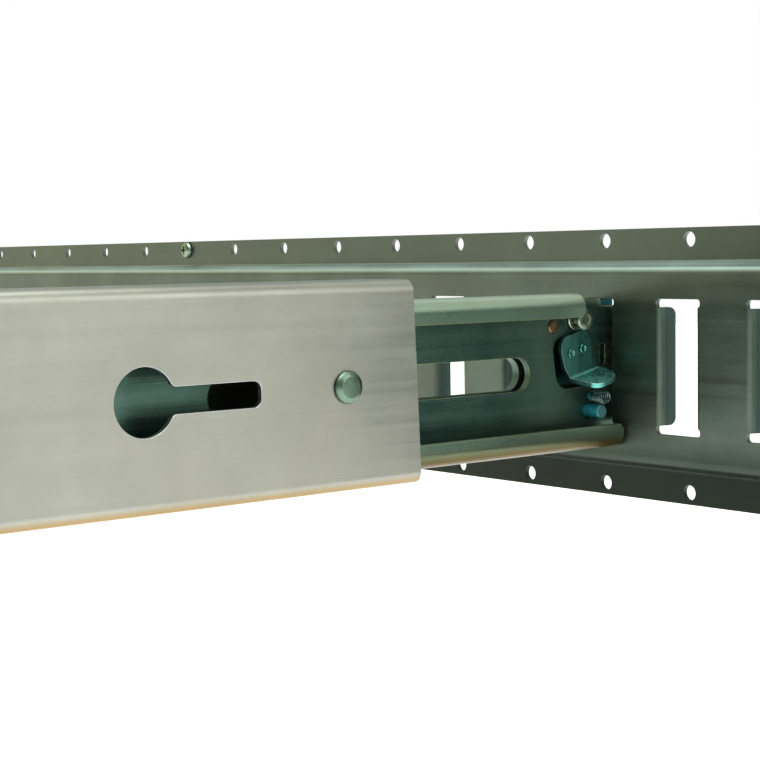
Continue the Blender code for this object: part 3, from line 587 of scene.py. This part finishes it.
def build_channel():
    """The lipped channel: its flat web with nose and windows, then two folded flanges."""
    back_x = CHANNEL_LOW.x
    flat_top = CHANNEL_HIGH.z - HEAD_BEND
    flat_bottom = CHANNEL_LOW.z + HEAD_BEND
    tail = CHANNEL_LOW.y
    outline = rounded([
        (tail, flat_bottom, 0.0),
        (BOTTOM_END, flat_bottom, 0.0),
        (BOTTOM_END, NECK_BOTTOM, 0.0005),
        *nose_corners(),
        (SHOULDER_END, NECK_TOP, 0.0010),
        (SHOULDER_END, SHOULDER_TOP, 0.0018),
        (TOP_END + 0.0003, SHOULDER_TOP, 0.0012),
        (TOP_END + 0.0003, flat_top, 0.0),
        (TOP_END, flat_top, 0.0),
        (tail, flat_top, 0.0),
    ], steps=6)
    windows = [
        rounded([
            (-0.0420, -0.0105, 0.007), (-0.0196, -0.0090, 0.006),
            (-0.0208, 0.0152, 0.004), (-0.0456, 0.0135, 0.007),
        ]),
        rounded(box_corners((-0.0166, -0.0106), (0.0005, 0.0095), 0.0008), steps=4),
        circle(SPRING_AXIS, ARBOR_RADIUS + HOLE_GAP),
    ]
    shape = bmesh.new()
    edge = [shape.verts.new((back_x, y, z)) for y, z in outline]
    holes = [[shape.verts.new((back_x, y, z)) for y, z in loop] for loop in windows + plate_holes()]
    fill(shape, edge, holes)

    def at(a, b, end):
        return (a, end, b)
    sides = (
        (CHANNEL_HIGH.z, flat_top, CHANNEL_HIGH.z - LIP_DEPTH, TOP_END),
        (CHANNEL_LOW.z, flat_bottom, CHANNEL_LOW.z + LIP_DEPTH, BOTTOM_END),
    )
    ends_of_lips = []
    for outer_z, start_z, lip_z, end_y in sides:
        start = [next(v for v in edge if abs(v.co.y - y) < 1e-6 and abs(v.co.z - start_z) < 1e-6)
                 for y in (tail, end_y)]
        path = rounded([
            (back_x, start_z - math.copysign(0.01, outer_z), 0.0),
            (back_x, outer_z, HEAD_BEND),
            (CHANNEL_HIGH.x, outer_z, HEAD_BEND),
            (CHANNEL_HIGH.x, lip_z, 0.0),
        ], closed=False, steps=12)[2:]
        last = fold(shape, start, path, (tail, end_y), at)
        ends_of_lips += last
    bmesh.ops.bevel(shape, geom=ends_of_lips, offset=0.0016, segments=4, affect="VERTICES")
    channel = new_piece("head_channel_body", shape)
    return round_edges(thicken(channel, HEAD_SHEET, (-1, 0, 0)))


def build_hook_plate():
    outline = rounded([
        (PLATE_LOW.y, NECK_BOTTOM, 0.008),
        *nose_corners(),
        (PLATE_LOW.y, NECK_TOP, 0.008),
    ])
    piece = prism("hook_plate_body", "YZ", [outline] + plate_holes(), (PLATE_LOW.x, PLATE_HIGH.x))
    return round_edges(piece)


def tiny_rivet_holes():
    return [circle(on_tab(u, v), RIVET_TINY_HOLE, 24) for u, v in TRIGGER_RIVETS.values()]


def build_lever():
    nose_back = LEVER_HIGH.y
    outline = rounded([
        (LEVER_LOW.y, 0.0095, 0.006),
        (-0.0390, LEVER_LOW.z, 0.006),
        (-0.0195, LEVER_LOW.z, 0.004),
        (-0.0130, 0.0100, 0.004),
        (nose_back, 0.0170, 0.002),
        (nose_back, LEVER_TOP, 0.0005),
        (NOSE_TOP_BACK, LEVER_HIGH.z, 0.0012),
        (TOE_FRONT, LEVER_HIGH.z, 0.0008),
        (TOE_FRONT, LEVER_TOP, 0.0),
        (LEVER_LOW.y, LEVER_TOP, 0.008),
    ])
    reach = (Vector(STUD) - Vector(PIVOT)).length
    at_rest = math.degrees(math.atan2(STUD[1] - PIVOT[1], STUD[0] - PIVOT[0]))
    stop_slot = arc_slot(PIVOT, reach, at_rest - 0.5, at_rest + LATCH_TRAVEL + 0.5, PIN_HOLE)
    outlines = [outline, stop_slot, circle(PIVOT, PIN_HOLE)] + tiny_rivet_holes()
    return round_edges(prism("latch_lever_body", "YZ", outlines, (LEVER_LOW.x, LEVER_HIGH.x)))


def build_spacer():
    corners = box_corners((0.003, 0.018), (0.003, 0.0135), 0.003)
    outline = [on_tab(u, v) for u, v in rounded(corners)]
    piece = prism("trigger_spacer_body", "YZ", [outline] + tiny_rivet_holes(), (SPACER_LOW.x, SPACER_HIGH.x))
    return round_edges(piece)


def build_tab():
    """A flat blank, then its tongue bent out along the fold line."""
    rear, front = TONGUE_ENDS
    blank = rounded([
        (rear, -TONGUE_LENGTH, 0.0060),
        (front, -TONGUE_LENGTH, 0.0065),
        (front, -0.0045, 0.0040),
        (TAB_WIDTH, 0.0005, 0.0020),
        (TAB_WIDTH, TAB_HEIGHT, 0.005),
        (0.0, TAB_HEIGHT, 0.0055),
        (0.0, 0.0045, 0.0100),
    ], steps=14)
    holes = [circle(spot, RIVET_TINY_HOLE, 24) for spot in TRIGGER_RIVETS.values()]
    tab = prism("trigger_tab_body", "XY", [blank] + holes, TAB_X)
    turn = math.radians(TONGUE_BEND)
    centre_x = TAB_X[1] + TONGUE_BEND_RADIUS
    bend_length = turn * (centre_x - sum(TAB_X) / 2)
    cuts = 14
    shape = bmesh.new()
    shape.from_mesh(tab.data)
    for step in range(cuts + 1):
        geometry = shape.verts[:] + shape.edges[:] + shape.faces[:]
        level = -bend_length * step / cuts
        bmesh.ops.bisect_plane(shape, geom=geometry, plane_co=(0, level, 0), plane_no=(0, 1, 0), dist=1e-6)
    for vertex in shape.verts:
        u, v, x = vertex.co
        if v < 0.0:
            part_turn = min(-v / bend_length, 1.0) * turn
            rest = max(-v - bend_length, 0.0)
            radius = centre_x - x
            x = centre_x - radius * math.cos(part_turn) + rest * math.sin(part_turn)
            v = -radius * math.sin(part_turn) - rest * math.cos(part_turn)
        vertex.co = (x, *on_tab(u, v))
    shape.to_mesh(tab.data)
    shape.free()
    return round_edges(tab, 0.0005, 3)


def build_spring():
    """A torsion spring: a leg beside the pin, the coil, and a leg under the tongue."""
    radius, wire, turns, leg = SPRING_RADIUS, 0.0004, 6.25, 0.0084
    start_x, end_x = 0.0090, 0.0172
    centre_y, centre_z = SPRING_AXIS
    per_turn = 28
    points = []
    for part in range(8):
        points.append((start_x, centre_y + radius, SPRING_PIN[1] - 0.001 + 0.0008 * part))
    steps = round(turns * per_turn)
    for step in range(steps + 1):
        angle = 2 * math.pi * step / per_turn
        x = start_x + (end_x - start_x) * step / steps
        points.append((x, centre_y + radius * math.cos(angle), centre_z + radius * math.sin(angle)))
    for part in range(1, 8):
        points.append((end_x, centre_y - leg * part / 7, centre_z + radius))
    data = bpy.data.curves.new("spring", "CURVE")
    data.dimensions = "3D"
    data.bevel_depth = wire
    data.bevel_resolution = 4
    data.use_fill_caps = True
    spline = data.splines.new("POLY")
    spline.points.add(len(points) - 1)
    for point, position in zip(spline.points, points):
        point.co = (*position, 1.0)
    curve = bpy.data.objects.new("spring", data)
    bpy.context.scene.collection.objects.link(curve)
    bpy.context.view_layer.update()
    mesh = bpy.data.meshes.new_from_object(curve.evaluated_get(bpy.context.evaluated_depsgraph_get()))
    bpy.data.objects.remove(curve, do_unlink=True)
    spring = bpy.data.objects.new("latch_spring_coil", mesh)
    bpy.context.scene.collection.objects.link(spring)
    merge_flats(spring)
    for polygon in mesh.polygons:
        polygon.use_smooth = True
    mesh.set_sharp_from_angle(angle=math.radians(50))
    return spring


def cad_tips(node):
    low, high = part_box(node)
    return low.x, high.x


def tail_profile(back, shank):
    """The formed tail of a rivet behind the hook plate."""
    return soft_profile([
        (shank, back + 0.0018, 0.0), (0.0042, back + 0.0018, 0.0003),
        (0.0038, back + 0.0006, 0.0006), (0.0, back, 0.0),
    ], steps=3)


def build_pivot_rivet():
    back, front = cad_tips("pivot_rivet_near")
    profile = soft_profile([
        (0.0, front, 0.0), (0.0028, front - 0.0001, 0.0004),
        (0.0033, front - 0.0007, 0.0), (0.0025, front - 0.0007, 0.0),
    ], steps=4) + tail_profile(back, 0.0025)
    return turned("pivot_rivet_body", profile, (0, *PIVOT))


def build_stud():
    back, front = cad_tips("stop_stud_near")
    profile = soft_profile([
        (0.0, front - 0.0003, 0.0), (0.0018, front - 0.0003, 0.0003),
        (0.0026, front, 0.0005), (0.0044, front - 0.0003, 0.0006),
        (0.0050, front - 0.0013, 0.0004), (0.0046, front - 0.0022, 0.0003), (0.0025, front - 0.0022, 0.0),
    ], steps=5) + tail_profile(back, 0.0025)
    return turned("stop_stud_body", profile, (0, *STUD))


def build_washer():
    low, high = cad_tips("stop_washer_near")
    outlines = [circle(STUD, 0.005, 56), circle(STUD, PIN_HOLE)]
    return round_edges(prism("stop_washer_body", "YZ", outlines, (low, high)))


def build_spring_pin():
    back, front = cad_tips("spring_pin_near")
    profile = soft_profile([
        (0.0, front, 0.0), (SPRING_PIN_RADIUS, front, 0.0006), (SPRING_PIN_RADIUS, back + 0.0018, 0.0),
    ], steps=4)[:-1] + tail_profile(back, SPRING_PIN_RADIUS)
    return turned("spring_pin_body", profile, (0, *SPRING_PIN))


def build_arbor():
    back, front = cad_tips("spring_arbor_near")
    profile = soft_profile([
        (0.0, front, 0.0), (ARBOR_RADIUS, front, 0.0004), (ARBOR_RADIUS, back, 0.0002), (0.0, back, 0.0),
    ], steps=4)
    return turned("spring_arbor_body", profile, (0, *SPRING_AXIS))


def build_plate_rivet(level):
    back, front = cad_tips("plate_rivet_" + level + "_near")
    low, high = PLATE_HIGH.x + 0.0003, CHANNEL_LOW.x - 0.0003
    profile = soft_profile([
        (0.0, front, 0.0), (0.0030, front - 0.0004, 0.0008),
        (0.0040, front - 0.0016, 0.0), (0.0025, front - 0.0016, 0.0),
    ], steps=4)
    profile += [(0.0025, high), (0.0040, high), (0.0040, low), (0.0025, low)] + tail_profile(back, 0.0025)
    return turned("plate_rivet_" + level + "_body", profile, (0, PLATE_RIVET_Y, PLATE_RIVET_Z[level]))


def build_trigger_rivet(which):
    back, front = cad_tips("trigger_rivet_" + which + "_near")
    profile = soft_profile([
        (0.0, front - 0.0005, 0.0), (TRIGGER_HEAD * 0.35, front - 0.0004, 0.0003),
        (TRIGGER_HEAD * 0.62, front, 0.0004), (TRIGGER_HEAD, front - 0.0006, 0.0002),
        (0.0015, front - 0.0006, 0.0), (0.0015, back, 0.0), (0.0, back, 0.0),
    ], steps=4)
    return turned("trigger_rivet_" + which + "_body", profile, (0, *on_tab(*TRIGGER_RIVETS[which])), steps=32)


# ------------------------------------------------------------ finishes

def srgb(red, green, blue):
    """A display colour, each part 0 to 255, as the linear values a shader takes."""
    def linear(value):
        share = value / 255
        return share / 12.92 if share <= 0.04045 else ((share + 0.055) / 1.055) ** 2.4
    return (linear(red), linear(green), linear(blue), 1.0)


def shade(colour, share):
    """The same colour, dimmed."""
    return (*(share * part for part in colour[:3]), 1.0)


class Finish:
    """One material, with short calls that add and join its nodes."""

    def __init__(self, name):
        self.material = bpy.data.materials.new(name)
        self.material.use_nodes = True
        self.tree = self.material.node_tree
        self.shader = self.tree.nodes["Principled BSDF"]
        self.place = self.add("ShaderNodeTexCoord").outputs["Object"]

    def add(self, kind):
        return self.tree.nodes.new(kind)

    def join(self, source, target):
        self.tree.links.new(source, target)

    def noise(self, scale, detail=3.0, roughness=0.55, shift=(0.0, 0.0, 0.0)):
        """Noise with its own scale along X, Y and Z, in cycles a metre."""
        mapping = self.add("ShaderNodeMapping")
        mapping.inputs["Scale"].default_value = scale
        mapping.inputs["Location"].default_value = shift
        self.join(self.place, mapping.inputs["Vector"])
        texture = self.add("ShaderNodeTexNoise")
        texture.inputs["Scale"].default_value = 1.0
        texture.inputs["Detail"].default_value = detail
        texture.inputs["Roughness"].default_value = roughness
        self.join(mapping.outputs["Vector"], texture.inputs["Vector"])
        return texture.outputs["Fac"]

    def span(self, value, low, high, to_low=0.0, to_high=1.0):
        """Map low..high to to_low..to_high, and hold the ends."""
        node = self.add("ShaderNodeMapRange")
        for socket, number in zip(("From Min", "From Max", "To Min", "To Max"), (low, high, to_low, to_high)):
            node.inputs[socket].default_value = number
        self.join(value, node.inputs["Value"])
        return node.outputs["Result"]

    def sum(self, first, second):
        node = self.add("ShaderNodeMath")
        node.operation = "ADD"
        self.join(first, node.inputs[0])
        self.join(second, node.inputs[1])
        return node.outputs[0]

    def blend(self, share, first, second):
        """A colour between two, each a socket or a fixed colour."""
        node = self.add("ShaderNodeMix")
        node.data_type = "RGBA"
        self.join(share, node.inputs["Factor"])
        for socket, colour in ((node.inputs[6], first), (node.inputs[7], second)):
            if isinstance(colour, tuple):
                socket.default_value = colour
            else:
                self.join(colour, socket)
        return node.outputs[2]

    def bump(self, height, distance, strength=1.0):
        node = self.add("ShaderNodeBump")
        node.inputs["Distance"].default_value = distance
        node.inputs["Strength"].default_value = strength
        self.join(height, node.inputs["Height"])
        self.join(node.outputs["Normal"], self.shader.inputs["Normal"])


def grained(axis, across, along):
    return tuple(along if name == axis else across for name in "XYZ")


def metal(name, dark, light, stain, grain="", roughness=0.38, lines=0.5, stain_share=0.35,
          mottle=32.0, painted_light_tints=(), metallic=1.0):
    """Sheet metal: rolled or drawn lines along its grain, cloudy plating, stains and fine pitting.

    Each painted light tint, (axis, from, to, colour), fades in along an axis; the callers use them for
    painted highlights, painted shade and painted reflections.
    """
    finish = Finish(name)
    fine = finish.noise(grained(grain, 1900.0, 22.0) if grain else (1500.0,) * 3, 2.0)
    bands = finish.noise(grained(grain, 330.0, 4.0) if grain else (260.0,) * 3, 3.0, shift=(3.1, 0.7, 5.3))
    cloud = finish.noise((mottle,) * 3, 4.0, 0.6, shift=(1.3, 4.1, 2.2))
    speck = finish.noise((1150.0,) * 3, 2.0, 0.7, shift=(7.7, 1.9, 0.4))
    tone = finish.sum(finish.span(fine, 0.3, 0.7, -0.18 * lines, 0.18 * lines),
                      finish.span(bands, 0.3, 0.7, -0.35 * lines, 0.35 * lines))
    tone = finish.sum(tone, finish.span(cloud, 0.3, 0.7, 0.2, 0.8))
    tone = finish.sum(tone, finish.span(speck, 0.25, 0.75, -0.1, 0.1))
    colour = finish.blend(finish.span(tone, 0.0, 1.0), dark, light)
    patches = finish.noise((mottle * 0.45,) * 3, 5.0, 0.62, shift=(9.2, 3.3, 6.1))
    colour = finish.blend(finish.span(patches, 0.46, 0.72, 0.0, stain_share), colour, stain)
    # Painted light: colour bands by position that stand in for highlights, shade and reflections.
    if painted_light_tints:
        where = finish.add("ShaderNodeSeparateXYZ")
        finish.join(finish.place, where.inputs[0])
        for axis, start, end, painted_colour in painted_light_tints:
            share = finish.span(where.outputs[axis], start, end)
            painted_toned = finish.blend(finish.span(tone, 0.0, 1.0), shade(painted_colour, 0.82), painted_colour)
            colour = finish.blend(share, colour, painted_toned)
    finish.join(colour, finish.shader.inputs["Base Color"])
    gloss = finish.sum(finish.span(bands, 0.3, 0.7, roughness - 0.05, roughness + 0.05),
                       finish.span(patches, 0.4, 0.75, -0.02, 0.1))
    finish.join(gloss, finish.shader.inputs["Roughness"])
    finish.shader.inputs["Metallic"].default_value = metallic
    finish.bump(finish.sum(finish.span(fine, 0.2, 0.8), finish.span(speck, 0.2, 0.8, 0.0, 0.6)), 0.00002)
    return finish.material


def plastic(name, dark, light):
    """Moulded plastic with a fine spark-eroded grain."""
    finish = Finish(name)
    grain = finish.noise((1600.0,) * 3, 3.0, 0.6)
    cloud = finish.noise((60.0,) * 3, 4.0, 0.6)
    finish.join(finish.blend(finish.span(cloud, 0.3, 0.7), dark, light), finish.shader.inputs["Base Color"])
    finish.join(finish.span(grain, 0.3, 0.7, 0.45, 0.6), finish.shader.inputs["Roughness"])
    finish.bump(grain, 0.00004)
    return finish.material


FINISHES = {
    "rail_steel": (
        metal("rail_zinc", srgb(78, 91, 84), srgb(101, 114, 105), srgb(94, 87, 72), "X", 0.40, 0.25,
              # Painted light on the rail: everything set back from the face, the slot lips first, is darker
              # (painted shade); a painted highlight band lies on the upper bend, then a plain colour for the
              # upper flange; the lower face and lower flange are darker (painted shade).
              painted_light_tints=(("Y", -0.0092, -0.0070, srgb(60, 76, 72)),
                     ("Z", 0.0425, 0.0445, srgb(176, 200, 196)), ("Z", 0.0465, 0.0480, srgb(92, 102, 92)),
                     ("Z", -0.0300, -0.0440, srgb(54, 65, 57)), ("Z", -0.0460, -0.0480, srgb(41, 48, 43)))),
        metal("rail_cut_edge", srgb(72, 90, 84), srgb(104, 120, 112), srgb(96, 92, 76), "X", 0.34, 0.3),
    ),
    "tube_metal": (
        metal("tube_drawn", srgb(139, 141, 133), srgb(154, 155, 148), srgb(148, 143, 128),
              "Y", 0.36, 0.2, 0.25,
              # Painted reflection: a warm golden band on the lower bend stands in for a warm floor mirrored
              # in the metal.
              painted_light_tints=(("Z", -0.0380, -0.0410, srgb(150, 124, 74)),)),
        # Painted highlight: the rounded edges get a near-white colour, a catch-light laid into their colour.
        metal("tube_edge_painted_highlight", srgb(186, 200, 214), srgb(222, 232, 242), srgb(196, 200, 198), "Y", 0.24, 0.3),
    ),
    "head_steel": (
        metal("head_zinc", srgb(47, 76, 70), srgb(80, 108, 98), srgb(84, 86, 58), "Y", 0.30, 0.5,
              # Painted light on the channel: lighter lips towards its open side and a lighter top bend
              # (painted highlights), and a golden lower bend (painted reflection of a warm floor).
              painted_light_tints=(("X", 0.0120, 0.0195, srgb(110, 134, 116)), ("Z", 0.0275, 0.0330, srgb(166, 182, 164)),
                     ("Z", -0.0290, -0.0350, srgb(78, 66, 18))), metallic=0.88),
        # Painted highlight: the rounded edges get a bright golden colour, a catch-light laid into their
        # colour.
        metal("head_edge_painted_highlight", srgb(120, 130, 88), srgb(196, 192, 132), srgb(172, 156, 76), "Y", 0.24, 0.4),
    ),
    "latch_steel": (
        # Partly the lever's own teal zinc, partly painted shade: darkened to the tone it has in the shade
        # inside the channel.
        metal("latch_zinc_and_painted_shade", srgb(14, 50, 56), srgb(36, 76, 80), srgb(44, 56, 46), "Y", 0.30, 0.6),
        # Painted highlight: a lighter colour for the rounded edges.
        metal("latch_edge_painted_highlight", srgb(36, 80, 86), srgb(84, 122, 122), srgb(90, 96, 70), "Y", 0.26, 0.3),
    ),
    "trigger_steel": (
        metal("trigger_zinc", srgb(56, 112, 108), srgb(98, 158, 150), srgb(84, 104, 84), "Z", 0.28, 0.5,
              # Painted highlight: the bent-out tongue is lighter where it faces the light.
              painted_light_tints=(("X", 0.0108, 0.0135, srgb(96, 166, 160)),)),
        # Painted highlight: a near-white colour for the rounded edges.
        metal("trigger_edge_painted_highlight", srgb(196, 214, 210), srgb(238, 246, 236), srgb(200, 196, 160),
              "", 0.16, 0.3),
    ),
    "rivet_steel": (
        metal("rivet_zinc", srgb(94, 120, 104), srgb(152, 172, 154), srgb(104, 98, 66),
              "", 0.26, 0.8, 0.5, 180.0,
              # Painted reflection: the travel rivet's flat head is darker, standing in for the dark rail
              # mirrored in it.
              painted_light_tints=(("X", 0.0220, 0.0236, srgb(104, 126, 110)),)),
        # Painted highlight: a lighter colour for the rounded edges.
        metal("rivet_edge_painted_highlight", srgb(180, 192, 184), srgb(228, 234, 224), srgb(176, 168, 130), "", 0.2, 0.4),
    ),
    "pivot_steel": (
        metal("pivot_brown", srgb(84, 70, 50), srgb(130, 112, 84), srgb(70, 54, 34),
              "", 0.34, 0.9, 0.5, 220.0),
        # Painted highlight: a lighter colour for edges.
        metal("pivot_edge_painted_highlight", srgb(120, 104, 78), srgb(160, 144, 112), srgb(90, 74, 50), "", 0.28, 0.4),
    ),
    "pin_steel": (
        metal("pin_blue_zinc", srgb(4, 150, 176), srgb(66, 184, 200), srgb(50, 110, 130),
              "", 0.3, 0.8, 0.4, 160.0,
              # Painted reflection: the pin's flat end is darker and greyer, standing in for the dark rail
              # mirrored in it.
              painted_light_tints=(("X", 0.0152, 0.0158, srgb(78, 128, 128)),), metallic=0.45),
        # Painted highlight: a lighter colour for edges.
        metal("pin_edge_painted_highlight", srgb(120, 190, 204), srgb(190, 226, 234), srgb(130, 140, 144), "", 0.2, 0.4),
    ),
    "spring_steel": (
        metal("spring_wire", srgb(74, 98, 100), srgb(130, 150, 148), srgb(84, 80, 60), "", 0.26, 0.6),
        # Painted highlight: a lighter colour for edges.
        metal("spring_end_painted_highlight", srgb(120, 126, 120), srgb(170, 174, 168), srgb(110, 102, 80), "", 0.24, 0.4),
    ),
    "pad_plastic": (
        plastic("pad_nylon", srgb(34, 34, 34), srgb(54, 54, 52)),
        # Painted highlight: a lighter colour for the rounded edges.
        plastic("pad_edge_painted_highlight", srgb(48, 48, 48), srgb(70, 70, 68)),
    ),
}


# ------------------------------------------------------------ put together

BODY_OF = {node: body for body, nodes in frame["record"]["behaviour"]["bodies"].items() for node in nodes}


def dress(piece, slot):
    """Give a piece both of its slot's finishes, the second for cut edges, which on most slots is lighter as a
    painted highlight.
    """
    piece.data.materials.clear()
    for finish in FINISHES[slot]:
        piece.data.materials.append(finish)


def stand_for(piece, node, slot):
    dress(piece, slot)
    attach(piece, BODY_OF[node])
    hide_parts(node)


def far_copy(piece):
    """The same piece at the bar's other end, mirrored about its middle."""
    shape = bmesh.new()
    shape.from_mesh(piece.data)
    for vertex in shape.verts:
        vertex.co.y = mirrored_y(vertex.co.y)
    bmesh.ops.reverse_faces(shape, faces=shape.faces)
    mesh = piece.data.copy()
    shape.to_mesh(mesh)
    shape.free()
    copy = piece.copy()
    copy.data = mesh
    copy.name = piece.name + "_far"
    bpy.context.scene.collection.objects.link(copy)
    return copy


stand_for(build_rail(), "slotted_rail", "rail_steel")
stand_for(build_screw(), "rail_screw", "rivet_steel")
stand_for(build_tube(), "bar_tube", "tube_metal")

HEAD_PIECES = (
    (build_travel_rivet(), "travel_rivet", "rivet_steel"),
    (build_channel(), "head_channel", "head_steel"),
    (build_hook_plate(), "hook_plate", "head_steel"),
    (build_lever(), "latch_lever", "latch_steel"),
    (build_spacer(), "trigger_spacer", "latch_steel"),
    (build_tab(), "trigger_tab", "trigger_steel"),
    (build_spring(), "latch_spring", "spring_steel"),
    (build_pivot_rivet(), "pivot_rivet", "pivot_steel"),
    (build_stud(), "stop_stud", "rivet_steel"),
    (build_washer(), "stop_washer", "rivet_steel"),
    (build_spring_pin(), "spring_pin", "pin_steel"),
    (build_arbor(), "spring_arbor", "pin_steel"),
    (build_plate_rivet("lower"), "plate_rivet_lower", "rivet_steel"),
    (build_plate_rivet("upper"), "plate_rivet_upper", "rivet_steel"),
    (build_trigger_rivet("rear"), "trigger_rivet_rear", "trigger_steel"),
    (build_trigger_rivet("front"), "trigger_rivet_front", "trigger_steel"),
)
for near_piece, node, slot in HEAD_PIECES:
    far_piece = far_copy(near_piece)
    stand_for(near_piece, node + "_near", slot)
    stand_for(far_piece, node + "_far", slot)

for node, pad in frame["nodes"].items():
    if node.startswith("guide_pad"):
        dress(pad, "pad_plastic")
        weld = pad.modifiers.new("Weld", "WELD")
        weld.merge_threshold = 0.00001
        round_edges(pad, 0.0005, 3)


# ------------------------------------------------------------ floor, light and camera

def build_floor():
    shape = bmesh.new()
    bmesh.ops.create_circle(shape, cap_ends=True, cap_tris=False, segments=96, radius=14.0)
    floor = new_piece("studio_floor", shape)
    floor.location = (0.0, MIDDLE_Y, FLOOR_Z)
    finish = Finish("floor_paint")
    cloud = finish.noise((3.0,) * 3, 3.0, 0.5)
    paint = finish.blend(cloud, srgb(252, 251, 252), srgb(255, 254, 255))
    finish.join(paint, finish.shader.inputs["Base Color"])
    finish.shader.inputs["Roughness"].default_value = 0.9
    finish.shader.inputs["Specular IOR Level"].default_value = 0.0
    floor.data.materials.append(finish.material)


def build_world():
    """White to look at. The metal mirrors a dim room, with a glow overhead and glows on both sides."""
    world = bpy.data.worlds.new("studio")
    bpy.context.scene.world = world
    world.use_nodes = True
    tree = world.node_tree
    tree.nodes.clear()

    def add(kind, operation=None):
        node = tree.nodes.new(kind)
        if operation:
            node.operation = operation
        return node

    place = add("ShaderNodeTexCoord")
    total = None
    for direction, low, high, colour in ROOM_GLOWS:
        dot = add("ShaderNodeVectorMath", "DOT_PRODUCT")
        tree.links.new(place.outputs["Generated"], dot.inputs[0])
        dot.inputs[1].default_value = Vector(direction).normalized()
        span = add("ShaderNodeMapRange")
        span.interpolation_type = "SMOOTHSTEP"
        span.inputs["From Min"].default_value = low
        span.inputs["From Max"].default_value = high
        tree.links.new(dot.outputs["Value"], span.inputs["Value"])
        share = add("ShaderNodeVectorMath", "MULTIPLY_ADD")
        tree.links.new(span.outputs["Result"], share.inputs[0])
        share.inputs[1].default_value = colour
        if total:
            tree.links.new(total, share.inputs[2])
        else:
            share.inputs[2].default_value = ROOM_BASE
        total = share.outputs["Vector"]
    lit = add("ShaderNodeBackground")
    tree.links.new(total, lit.inputs["Color"])
    seen = add("ShaderNodeBackground")
    seen.inputs["Color"].default_value = (1, 1, 1, 1)
    ray = add("ShaderNodeLightPath")
    mix = add("ShaderNodeMixShader")
    tree.links.new(ray.outputs["Is Camera Ray"], mix.inputs[0])
    tree.links.new(lit.outputs[0], mix.inputs[1])
    tree.links.new(seen.outputs[0], mix.inputs[2])
    output = add("ShaderNodeOutputWorld")
    tree.links.new(mix.outputs[0], output.inputs["Surface"])


def build_light(name, spot, aim, size, power):
    data = bpy.data.lights.new(name, "AREA")
    data.shape = "RECTANGLE"
    data.size, data.size_y = size
    data.energy = power
    light = bpy.data.objects.new(name, data)
    light.location = spot
    light.rotation_mode = "QUATERNION"
    light.rotation_quaternion = (Vector(aim) - Vector(spot)).to_track_quat("-Z", "Y")
    bpy.context.scene.collection.objects.link(light)


def build_sky():
    """Wide, even light from above, for the floor. Polished metal doesn't mirror it."""
    data = bpy.data.lights.new("sky", "SUN")
    data.energy = SKY_POWER
    data.angle = SKY_SPREAD
    sky = bpy.data.objects.new("sky", data)
    sky.visible_glossy = False
    bpy.context.scene.collection.objects.link(sky)


def build_camera():
    """Low on the bar's open side, looking along the bar towards the rail."""
    yaw, pitch, roll = (math.radians(angle) for angle in (50.41, 4.18, -0.832))
    forward = Vector((-math.sin(yaw) * math.cos(pitch), math.cos(yaw) * math.cos(pitch), -math.sin(pitch)))
    level = Vector((math.cos(yaw), math.sin(yaw), 0.0))
    plumb = level.cross(forward)
    right = math.cos(roll) * level + math.sin(roll) * plumb
    up = math.cos(roll) * plumb - math.sin(roll) * level
    data = bpy.data.cameras.new("camera")
    data.lens = 80.14
    data.sensor_width = 36.0
    data.clip_start = 0.01
    camera = bpy.data.objects.new("camera", data)
    camera.location = (0.5464, -0.5927, 0.0515)
    camera.rotation_mode = "QUATERNION"
    camera.rotation_quaternion = Matrix((right, up, -forward)).transposed().to_quaternion()
    bpy.context.scene.collection.objects.link(camera)
    bpy.context.scene.camera = camera


build_floor()
build_world()
build_light("overhead", (0.3, -0.5, 1.6), (0.0, -0.3, 0.0), (1.6, 1.6), 30.0)
build_light("open_side", (1.5, 0.4, 0.7), (0.0, -0.2, 0.0), (1.2, 1.2), 9.0)
build_sky()
build_camera()
bpy.context.scene.view_settings.view_transform = "Standard"
